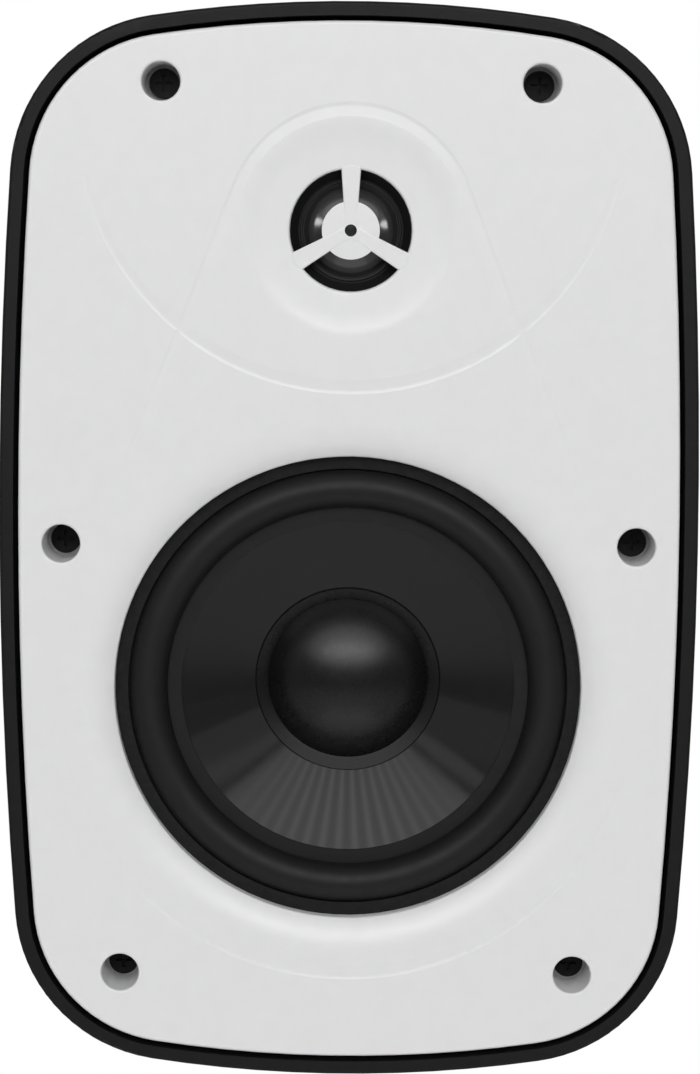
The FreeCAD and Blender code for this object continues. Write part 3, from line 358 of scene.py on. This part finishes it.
def half_roll(sizes, outer_edge, inner_edge, y):
    """Rings of a suspension: a flat outer edge, a half circle that stands forward and a flat inner edge."""
    centre = (sizes.roll_outer + sizes.roll_inner) / 2
    radius = (sizes.roll_outer - sizes.roll_inner) / 2
    return [(outer_edge, y)] + arc(centre, y, radius, 90, -90, sizes.roll_steps) + [(inner_edge, y)]


def paint(piece, finish):
    """Give a piece one finish."""
    piece.data.materials.clear()
    piece.data.materials.append(finish)


def place(piece, node, finish):
    """Let a finished piece stand for a node, on the node's body."""
    paint(piece, finish)
    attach(piece, BODY_OF[node])
    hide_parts(node)


def hang(piece, node, finish):
    """Finish a suspension ring and leave it where it lies, on no body, in place of its node."""
    paint(piece, finish)
    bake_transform(piece)
    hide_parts(node)


def is_flat(face):
    """Whether a face lies in the flat front face."""
    return face.normal.y <= FLAT_NORMAL_Y


def is_relief(face, relief):
    """Whether a face belongs to a relief line: shallow, not flat, and clear of dish, flare and sides."""
    spot = face.calc_center_median()
    clear = math.hypot(spot.x, spot.z - TWEETER_Z) > relief.dish_reach
    clear = clear and math.hypot(spot.x, spot.z - WOOFER_Z) > relief.flare_reach
    clear = clear and abs(spot.x) < relief.side_reach
    shallow = all(vertex.co.y < FRONT_Y + relief.depth for vertex in face.verts)
    return clear and shallow and not is_flat(face)


def mark_relief(piece, relief):
    """Mark as sharp the edges where the shallow relief lines leave the flat front face."""
    bpy.ops.object.mode_set(mode="EDIT")
    bpy.ops.mesh.select_mode(type="EDGE")
    bpy.ops.mesh.select_all(action="DESELECT")
    mesh = bmesh.from_edit_mesh(piece.data)
    for edge in mesh.edges:
        faces = edge.link_faces
        meets_front = len(faces) == 2 and any(is_flat(face) for face in faces)
        if meets_front and any(is_relief(face, relief) for face in faces):
            edge.select_set(True)
    bmesh.update_edit_mesh(piece.data)
    bpy.ops.mesh.mark_sharp()
    bpy.ops.mesh.select_mode(type="VERT")
    bpy.ops.object.mode_set(mode="OBJECT")


def copied(node, name, relief=None):
    """Merged copy of a node's mesh, smooth between its real edges and the edges of its relief lines."""
    deselect()
    piece = frame["nodes"][node].copy()
    piece.data = piece.data.copy()
    piece.parent = None
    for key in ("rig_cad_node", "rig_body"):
        del piece[key]
    piece.name = name
    piece.data.name = name
    bpy.context.scene.collection.objects.link(piece)
    activate(piece)
    bpy.ops.object.mode_set(mode="EDIT")
    bpy.ops.mesh.select_all(action="SELECT")
    bpy.ops.mesh.customdata_custom_splitnormals_clear()
    bpy.ops.mesh.remove_doubles(threshold=COPY_WELD)
    bpy.ops.object.mode_set(mode="OBJECT")
    smooth(piece, EDGE_DEGREES)
    if relief:
        mark_relief(piece, relief)
    weights = piece.modifiers.new("Even normals", "WEIGHTED_NORMAL")
    weights.keep_sharp = True
    bpy.ops.object.modifier_apply(modifier=weights.name)
    return piece


# Finishes: shaders whose colour, gloss and relief waver with noise or waves on object coordinates

def link(tree, source, target):
    """Join two sockets."""
    tree.links.new(source, target)


def add(tree, kind, settings=(), **inputs):
    """Node of a kind, with settings on the node and values on its inputs."""
    node = tree.nodes.new(kind)
    for key, value in dict(settings).items():
        setattr(node, key, value)
    for key, value in inputs.items():
        node.inputs[key.replace("_", " ")].default_value = value
    return node


def blank(name, roughness, metallic=0.0, specular=0.5):
    """New material and its shader, with its constants on the shader's own sockets."""
    material = bpy.data.materials.new(name)
    material.use_nodes = True
    shader = material.node_tree.nodes["Principled BSDF"]
    shader.inputs["Roughness"].default_value = roughness
    shader.inputs["Metallic"].default_value = metallic
    shader.inputs["Specular IOR Level"].default_value = specular
    return material, material.node_tree, shader


def coordinates(tree, space="Object"):
    """Coordinates of the shaded point in one space."""
    return add(tree, "ShaderNodeTexCoord").outputs[space]


def split(tree, vector):
    """The three axes of a vector socket."""
    axes = add(tree, "ShaderNodeSeparateXYZ")
    link(tree, vector, axes.inputs["Vector"])
    return axes.outputs


def maths(tree, operation, first, second=None):
    """One step of arithmetic on sockets or numbers."""
    node = add(tree, "ShaderNodeMath", {"operation": operation})
    for socket, value in zip(node.inputs, (first, second)):
        if isinstance(value, (int, float)):
            socket.default_value = value
        elif value is not None:
            link(tree, value, socket)
    return node.outputs["Value"]


def noise(tree, size, detail=3.0):
    """Noise with features of about one size, in metres."""
    node = add(tree, "ShaderNodeTexNoise", Scale=1 / size, Detail=detail, Roughness=0.6)
    link(tree, coordinates(tree), node.inputs["Vector"])
    return node.outputs["Fac"]


def wave(tree, source, repeats):
    """Smooth wave from 0 to 1 that repeats a number of times per unit of its source."""
    swing = maths(tree, "COSINE", maths(tree, "MULTIPLY", source, repeats * TURN))
    return maths(tree, "MULTIPLY", maths(tree, "ADD", swing, 1.0), 0.5)


def axis_distance(tree, z):
    """Distance of the shaded point from a driver's axis."""
    centre = add(tree, "ShaderNodeMapping", Location=(0, 0, -z))
    link(tree, coordinates(tree), centre.inputs["Vector"])
    axes = split(tree, centre.outputs["Vector"])
    squares = [maths(tree, "MULTIPLY", axes[k], axes[k]) for k in "XZ"]
    return maths(tree, "SQRT", maths(tree, "ADD", *squares))


def ranged(tree, source, low, high):
    """A source's middle range spread between two values."""
    node = add(tree, "ShaderNodeMapRange", From_Min=0.3, From_Max=0.7, To_Min=low, To_Max=high)
    link(tree, source, node.inputs["Value"])
    return node.outputs["Result"]


def mottled(tree, shader, tint, source, spread):
    """Base colour that wavers about a tint."""
    mix = add(tree, "ShaderNodeMix", {"data_type": "RGBA"})
    colours = [s for s in mix.inputs if s.type == "RGBA"]
    colours[0].default_value = [c * (1 - spread) for c in tint] + [1]
    colours[1].default_value = [min(1, c * (1 + spread)) for c in tint] + [1]
    link(tree, ranged(tree, source, 0, 1), mix.inputs["Factor"])
    link(tree, next(s for s in mix.outputs if s.type == "RGBA"), shader.inputs["Base Color"])


def bumped(tree, shader, height, depth):
    """Relief of a height source, in metres."""
    bump = add(tree, "ShaderNodeBump", Strength=1.0, Distance=depth)
    link(tree, height, bump.inputs["Height"])
    link(tree, bump.outputs["Normal"], shader.inputs["Normal"])


def grained(name, tint, gloss, grain, depth, spread=0.08, metallic=0.0, specular=0.5):
    """Textured finish: gloss is a (low, high) roughness, grain and depth the texture's size and relief."""
    material, tree, shader = blank(name, sum(gloss) / 2, metallic, specular)
    mottled(tree, shader, tint, noise(tree, grain * MOTTLE_GRAINS), spread)
    link(tree, ranged(tree, noise(tree, grain * GLOSS_GRAINS), *gloss), shader.inputs["Roughness"])
    bumped(tree, shader, noise(tree, grain, detail=2.0), depth)
    return material


def moulded_cone(tint):
    """Smooth moulded cone with a faint polish round its axis."""
    patch = 8 * MM
    rings_per_metre = 900.0
    material, tree, shader = blank("moulded_cone", roughness=0.09, specular=0.36)
    mottled(tree, shader, tint, noise(tree, patch), spread=0.06)
    link(tree, ranged(tree, noise(tree, patch), low=0.085, high=0.1), shader.inputs["Roughness"])
    bumped(tree, shader, wave(tree, axis_distance(tree, WOOFER_Z), rings_per_metre), depth=0.0002 * MM)
    return material


def wound(name, tint, pitch):
    """Enamelled winding: fine turns along the depth."""
    material, tree, shader = blank(name, roughness=0.3, metallic=1.0)
    mottled(tree, shader, tint, noise(tree, 3 * MM), spread=0.15)
    along = split(tree, coordinates(tree))["Y"]
    bumped(tree, shader, wave(tree, along, 1 / pitch), depth=pitch / 3)
    return material


def inner_finishes(steel):
    """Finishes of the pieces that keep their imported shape, by material slot, with the screws' tint."""
    return {
        "seal_black": grained("foam_seal", (0.005, 0.005, 0.005), gloss=(0.75, 0.9),
                              grain=0.5 * MM, depth=0.08 * MM, specular=0.35),
        "spider_cloth": grained("treated_cloth", (0.55, 0.42, 0.2), gloss=(0.75, 0.9),
                                grain=0.6 * MM, depth=0.1 * MM, spread=0.15),
        "former_aluminium": grained("foil_former", (0.75, 0.75, 0.76), gloss=(0.25, 0.4),
                                    grain=1 * MM, depth=0.01 * MM, spread=0.05, metallic=1.0),
        "copper_wire": wound("enamelled_copper", (0.72, 0.36, 0.2), pitch=0.5 * MM),
        "basket_black": grained("powder_coat", (0.02, 0.02, 0.02), gloss=(0.45, 0.6),
                                grain=0.4 * MM, depth=0.03 * MM),
        "pole_steel": grained("zinc_plate", (0.5, 0.5, 0.48), gloss=(0.3, 0.45),
                              grain=0.8 * MM, depth=0.01 * MM, spread=0.1, metallic=1.0),
        "ferrite": grained("ground_ferrite", (0.06, 0.06, 0.065), gloss=(0.5, 0.7),
                           grain=0.7 * MM, depth=0.03 * MM, spread=0.2),
        "screw_black": grained("black_oxide", steel, gloss=(0.35, 0.5),
                               grain=0.4 * MM, depth=0.01 * MM, spread=0.2, specular=0.15),
        "brass": grained("turned_brass", (0.78, 0.57, 0.27), gloss=(0.22, 0.36),
                         grain=0.5 * MM, depth=0.006 * MM, metallic=1.0),
        "tag_fibre": grained("fibre_board", (0.3, 0.17, 0.08), gloss=(0.6, 0.8),
                             grain=0.5 * MM, depth=0.03 * MM, spread=0.25),
        "tweeter_black": grained("tweeter_plate", (0.005, 0.005, 0.005), gloss=(0.4, 0.55),
                                 grain=0.4 * MM, depth=0.02 * MM, specular=0.2),
        "board_green": grained("glass_board", (0.03, 0.2, 0.07), gloss=(0.3, 0.45),
                               grain=0.6 * MM, depth=0.01 * MM, spread=0.2),
        "capacitor_yellow": grained("film_sleeve", (0.75, 0.5, 0.06), gloss=(0.25, 0.4),
                                    grain=1 * MM, depth=0.01 * MM, spread=0.05),
        "resistor_white": grained("cement", (0.75, 0.73, 0.68), gloss=(0.75, 0.9),
                                  grain=0.4 * MM, depth=0.06 * MM),
        "cup_black": grained("cup_moulding", (0.012, 0.012, 0.0125), gloss=(0.4, 0.55),
                             grain=0.4 * MM, depth=0.02 * MM),
        "cap_red": grained("red_cap", (0.45, 0.012, 0.014), gloss=(0.28, 0.4),
                           grain=0.5 * MM, depth=0.01 * MM, spread=0.06),
        "cap_black": grained("black_cap", (0.01, 0.01, 0.01), gloss=(0.28, 0.4),
                             grain=0.5 * MM, depth=0.01 * MM),
    }


class SPEAKER_OT_inside(bpy.types.Operator):
    """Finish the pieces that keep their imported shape."""
    bl_idname = "speaker.inside"
    bl_label = "Inside"

    def execute(self, context):
        finishes = inner_finishes(context.scene.speaker_colours.steel)
        for name, node in frame["nodes"].items():
            finish = finishes.get(SLOT_OF[name])
            if finish:
                paint(node, finish)
        return {"FINISHED"}


class SPEAKER_OT_mouldings(bpy.types.Operator):
    """Smooth the white front, its guard and the black cabinet and give them their moulded textures."""
    bl_idname = "speaker.mouldings"
    bl_label = "Mouldings"

    def execute(self, context):
        colours = context.scene.speaker_colours
        satin = grained("satin_white", colours.front, gloss=(0.30, 0.36),
                        grain=0.5 * MM, depth=0.002 * MM, spread=0.01)
        textured = grained("textured_black", colours.shell, gloss=(0.42, 0.52),
                           grain=0.45 * MM, depth=0.012 * MM, spread=0.12, specular=0.18)
        place(copied("baffle", "front_moulding", context.scene.speaker_relief), "baffle", satin)
        place(copied("tweeter_guard", "dome_guard"), "tweeter_guard", satin)
        place(copied("cabinet", "cabinet_shell"), "cabinet", textured)
        return {"FINISHED"}


class SPEAKER_OT_cone(bpy.types.Operator):
    """Model the woofer's moulded cone with its flat lip."""
    bl_idname = "speaker.cone"
    bl_label = "Cone"

    def execute(self, context):
        sizes = context.scene.speaker_woofer
        rings = [(CONE_RIM_R, CONE_FRONT)]
        for n in range(sizes.cone_steps + 1):
            share = n / sizes.cone_steps
            rings.append((sizes.cone_lip + (NECK_R - sizes.cone_lip) * share,
                          CONE_FRONT + (NECK_Y - CONE_FRONT) * share))
        piece = turned_shell("cone", WOOFER_Z, rings, sizes.cone_sides, sizes.cone_wall, FINE_EDGE_DEGREES)
        place(piece, "woofer_cone", moulded_cone(context.scene.speaker_colours.cone))
        return {"FINISHED"}


class SPEAKER_OT_surround(bpy.types.Operator):
    """Model the woofer's rubber half-roll."""
    bl_idname = "speaker.surround"
    bl_label = "Surround"

    def execute(self, context):
        sizes = context.scene.speaker_woofer
        rings = half_roll(sizes, SURROUND_R, sizes.cone_lip, GASKET_BACK)
        piece = turned_shell("surround_roll", WOOFER_Z, rings, sizes.roll_sides, sizes.surround_wall)
        rubber = grained("matt_rubber", context.scene.speaker_colours.rubber, gloss=(0.42, 0.52),
                         grain=0.5 * MM, depth=0.005 * MM, specular=0.2)
        hang(piece, "woofer_surround", rubber)
        return {"FINISHED"}


class SPEAKER_OT_dust_cap(bpy.types.Operator):
    """Model the woofer's domed dust cap with its glued flange."""
    bl_idname = "speaker.dust_cap"
    bl_label = "Dust cap"

    def execute(self, context):
        sizes = context.scene.speaker_woofer
        slope = (NECK_Y - CONE_FRONT) / (sizes.cone_lip - NECK_R)
        lift = sizes.cap_wall * math.hypot(1, slope)
        rim_y = CONE_FRONT + (sizes.cone_lip - CAP_RIM_R) * slope - lift
        base_y = CONE_FRONT + (sizes.cone_lip - sizes.cap_radius) * slope - lift
        rings = [(CAP_RIM_R, rim_y)] + dome(sizes.cap_radius, CAP_APEX_Y, base_y, sizes.cap_steps)
        piece = turned_shell("dust_cap_dome", WOOFER_Z, rings, sizes.cap_sides, sizes.cap_wall,
                             FINE_EDGE_DEGREES)
        satin = grained("satin_cap", context.scene.speaker_colours.cap, gloss=(0.26, 0.30),
                        grain=0.6 * MM, depth=0.0008 * MM, specular=0.36)
        place(piece, "woofer_dust_cap", satin)
        return {"FINISHED"}


class SPEAKER_OT_tweeter(bpy.types.Operator):
    """Model the tweeter's dome and its roll."""
    bl_idname = "speaker.tweeter"
    bl_label = "Tweeter"

    def execute(self, context):
        sizes = context.scene.speaker_tweeter
        tint = context.scene.speaker_colours.dome
        silk = grained("coated_silk", tint, gloss=(0.14, 0.17),
                       grain=0.5 * MM, depth=0.0015 * MM, specular=0.65)
        cloth = grained("roll_cloth", tint, gloss=(0.3, 0.36),
                        grain=0.5 * MM, depth=0.0015 * MM, specular=0.2)
        rings = [(DOME_R, DOME_SKIRT_Y)] + dome(DOME_R, DOME_APEX_Y, DOME_BASE_Y, sizes.dome_steps)
        skin = turned_shell("dome_skin", TWEETER_Z, rings, sizes.sides, sizes.dome_wall)
        place(skin, "tweeter_dome", silk)
        rings = half_roll(sizes, ROLL_R, DOME_R, DOME_BASE_Y)
        roll = turned_shell("dome_roll", TWEETER_Z, rings, sizes.sides, sizes.dome_wall)
        hang(roll, "tweeter_surround", cloth)
        return {"FINISHED"}


class SPEAKER_OT_fittings(bpy.types.Operator):
    """Smooth the small pieces that show: terminals, inserts, screws, woofer gasket and tweeter plate."""
    bl_idname = "speaker.fittings"
    bl_label = "Fittings"

    def execute(self, context):
        for node in FITTINGS:
            finish = frame["nodes"][node].data.materials[0]
            place(copied(node, node + "_finished"), node, finish)
        return {"FINISHED"}


def aimed(azimuth, elevation, distance):
    """Point and direction from the front's middle, by an azimuth and an elevation in degrees."""
    a, e = math.radians(azimuth), math.radians(elevation)
    away = Vector((math.sin(a) * math.cos(e), -math.cos(a) * math.cos(e), math.sin(e)))
    return Vector((0, FRONT_Y, 0)) + away * distance, away


def lamp_of(name, location, away, size, brightness, shape="RECTANGLE"):
    """Soft panel light with its back in a direction, seen in reflections and not by the camera."""
    deselect()
    bpy.ops.object.light_add(type="AREA", location=location)
    lamp = bpy.context.active_object
    lamp.name = name
    lamp.rotation_euler = away.to_track_quat("Z", "Y").to_euler()
    lamp.data.shape = shape
    lamp.data.size, lamp.data.size_y = size
    filled = math.pi / 4 if shape == "ELLIPSE" else 1.0
    lamp.data.energy = brightness * math.pi * size[0] * size[1] * filled
    lamp.visible_camera = False
    return lamp


def panel_light(name, azimuths, elevations, distance, brightness, shape="RECTANGLE"):
    """Panel that shines on the speaker and fills a range of azimuths and elevations."""
    where, away = aimed(sum(azimuths) / 2, sum(elevations) / 2, distance)
    flatness = math.cos(math.radians(sum(elevations) / 2))
    width = 2 * distance * flatness * math.tan(math.radians(abs(azimuths[1] - azimuths[0]) / 2))
    height = 2 * distance * math.tan(math.radians((elevations[1] - elevations[0]) / 2))
    return lamp_of(name, where, away, (width, height), brightness, shape)


def banked(lamp, tubes, sharpness, gain, top):
    """Show upright tubes behind a panel's cloth, fainter towards its sides, and dim it towards its top."""
    lamp.data.use_nodes = True
    tree = lamp.data.node_tree
    axes = split(tree, coordinates(tree, "UV"))
    across = axes["X"]
    tube = maths(tree, "POWER", maths(tree, "SUBTRACT", 1.0, wave(tree, across, tubes)), sharpness)
    middle_share = maths(tree, "SINE", maths(tree, "MULTIPLY", across, math.pi))
    ripple = maths(tree, "MULTIPLY", maths(tree, "MULTIPLY", tube, middle_share), gain)
    fade = add(tree, "ShaderNodeMapRange", To_Min=1.0, To_Max=top)
    link(tree, axes["Y"], fade.inputs["Value"])
    strength = maths(tree, "MULTIPLY", maths(tree, "ADD", ripple, 1.0), fade.outputs["Result"])
    link(tree, strength, tree.nodes["Emission"].inputs["Strength"])


def shine_only_on(lamps, piece):
    """Let small accent lamps light one piece alone."""
    lit = bpy.data.collections.new("accent_lit")
    lit.objects.link(bpy.data.objects[piece])
    for lamp in lamps:
        lamp.light_linking.receiver_collection = lit


def add_lamps(stage):
    """Key light over the camera, side panels, glints on the dome, a floor reflector and a panel behind."""
    bank = panel_light("tube_bank", azimuths=(-44.5, 44.5), elevations=(8, 49.2), distance=4.5,
                       brightness=stage.key, shape="ELLIPSE")
    banked(bank, stage.tubes, sharpness=3.0, gain=1.15, top=0.85)
    panel_light("key_core", azimuths=(-29, 29), elevations=(16.5, 31.5), distance=4.4,
                brightness=stage.core, shape="ELLIPSE")
    for name, (azimuths, elevations, share) in SIDE_PANELS.items():
        panel_light(name, azimuths, elevations, SIDE_DISTANCE, share * stage.side)
    glints = []
    for name, (azimuths, elevations) in GLINT_LAMPS.items():
        glints.append(panel_light(name, azimuths, elevations, GLINT_DISTANCE, stage.glint, "ELLIPSE"))
    shine_only_on(glints, "dome_skin")
    reflector = Vector((0, FRONT_Y - stage.reflector, -stage.floor_drop + REFLECTOR_LIFT))
    lamp_of("floor_reflector", reflector, Vector((0, 0, -1)), REFLECTOR_SIZE, stage.bounce)
    panel_light("rear_softbox", azimuths=(150, 210), elevations=(20, 50), distance=2.2, brightness=stage.rear)


def add_camera(scene, stage):
    """Camera before the front, above its middle and tilted down."""
    deselect()
    where = (stage.camera_shift, FRONT_Y - stage.camera_distance, stage.camera_height)
    bpy.ops.object.camera_add(location=where)
    camera = bpy.context.active_object
    camera.name = "photo_camera"
    camera.rotation_mode = "ZXY"
    camera.rotation_euler = (math.pi / 2 - stage.camera_pitch, 0, stage.camera_roll)
    camera.data.lens = stage.lens
    camera.data.clip_start = 0.05
    scene.camera = camera


def add_world(scene, ambient):
    """Plain white light from all round."""
    world = bpy.data.worlds.new("room")
    scene.world = world
    world.use_nodes = True
    back = world.node_tree.nodes["Background"]
    back.inputs["Color"].default_value = WHITE
    back.inputs["Strength"].default_value = ambient


def white_card():
    """Backdrop that shows white to the eye, in metal and in glass, and is plain card to the light."""
    material = bpy.data.materials.new("white_card")
    material.use_nodes = True
    tree = material.node_tree
    tree.nodes.clear()
    rays = add(tree, "ShaderNodeLightPath")
    seen = maths(tree, "MAXIMUM", rays.outputs["Is Camera Ray"], rays.outputs["Is Glossy Ray"])
    seen = maths(tree, "MAXIMUM", seen, rays.outputs["Is Transmission Ray"])
    card = add(tree, "ShaderNodeBsdfDiffuse", Color=(*PALE, 1))
    glow = add(tree, "ShaderNodeEmission", Strength=1.0)
    mix = add(tree, "ShaderNodeMixShader")
    link(tree, seen, mix.inputs["Fac"])
    link(tree, card.outputs["BSDF"], mix.inputs[1])
    link(tree, glow.outputs["Emission"], mix.inputs[2])
    link(tree, mix.outputs["Shader"], add(tree, "ShaderNodeOutputMaterial").inputs["Surface"])
    return material


def sheet_of(name, size, location, rotation, finish):
    """Flat part of the room."""
    deselect()
    bpy.ops.mesh.primitive_plane_add(size=size, location=location, rotation=rotation)
    sheet = bpy.context.active_object
    sheet.name = name
    sheet.data.materials.append(finish)


class SPEAKER_OT_stage(bpy.types.Operator):
    """Set the camera, the lights, the floor and the backdrop."""
    bl_idname = "speaker.stage"
    bl_label = "Stage"

    def execute(self, context):
        stage = context.scene.speaker_stage
        add_camera(context.scene, stage)
        add_world(context.scene, stage.ambient)
        add_lamps(stage)
        pale_floor = grained("pale_floor", PALE, gloss=(0.6, 0.7), grain=8 * MM, depth=0.02 * MM, spread=0.02)
        sheet_of("floor", FLOOR_SIZE, (0, 0, -stage.floor_drop), (0, 0, 0), pale_floor)
        sheet_of("backdrop", BACKDROP_SIZE, (0, stage.backdrop, 0), (math.pi / 2, 0, 0), white_card())
        context.scene.view_settings.view_transform = "Standard"
        return {"FINISHED"}


OPERATORS = (SPEAKER_OT_inside, SPEAKER_OT_mouldings, SPEAKER_OT_cone, SPEAKER_OT_surround,
             SPEAKER_OT_dust_cap, SPEAKER_OT_tweeter, SPEAKER_OT_fittings, SPEAKER_OT_stage)
GROUPS = {"speaker_woofer": WooferSizes, "speaker_tweeter": TweeterSizes, "speaker_relief": ReliefReach,
          "speaker_colours": FinishColours, "speaker_stage": StageSizes}


class SPEAKER_PT_pieces(bpy.types.Panel):
    """Sidebar list of the speaker's pieces and sizes."""
    bl_idname = "SPEAKER_PT_pieces"
    bl_label = "Wall speaker"
    bl_space_type = "VIEW_3D"
    bl_region_type = "UI"
    bl_category = "Speaker"

    def draw(self, context):
        for operator in OPERATORS:
            self.layout.operator(operator.bl_idname)
        for key, group in GROUPS.items():
            box = self.layout.box()
            for name in group.__annotations__:
                box.prop(getattr(context.scene, key), name)


def register():
    """Make the classes and the scene's groups of sizes known."""
    for group in GROUPS.values():
        bpy.utils.register_class(group)
    for key, group in GROUPS.items():
        setattr(bpy.types.Scene, key, PointerProperty(type=group))
    for operator in OPERATORS:
        bpy.utils.register_class(operator)
    bpy.utils.register_class(SPEAKER_PT_pieces)


def unregister():
    """Take back what register made known."""
    bpy.utils.unregister_class(SPEAKER_PT_pieces)
    for operator in reversed(OPERATORS):
        bpy.utils.unregister_class(operator)
    for key in GROUPS:
        delattr(bpy.types.Scene, key)
    for group in GROUPS.values():
        bpy.utils.unregister_class(group)


def main():
    """Register the add-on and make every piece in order."""
    register()
    for operator in OPERATORS:
        group, name = operator.bl_idname.split(".")
        getattr(getattr(bpy.ops, group), name)()


if __name__ == "__main__":
    main()
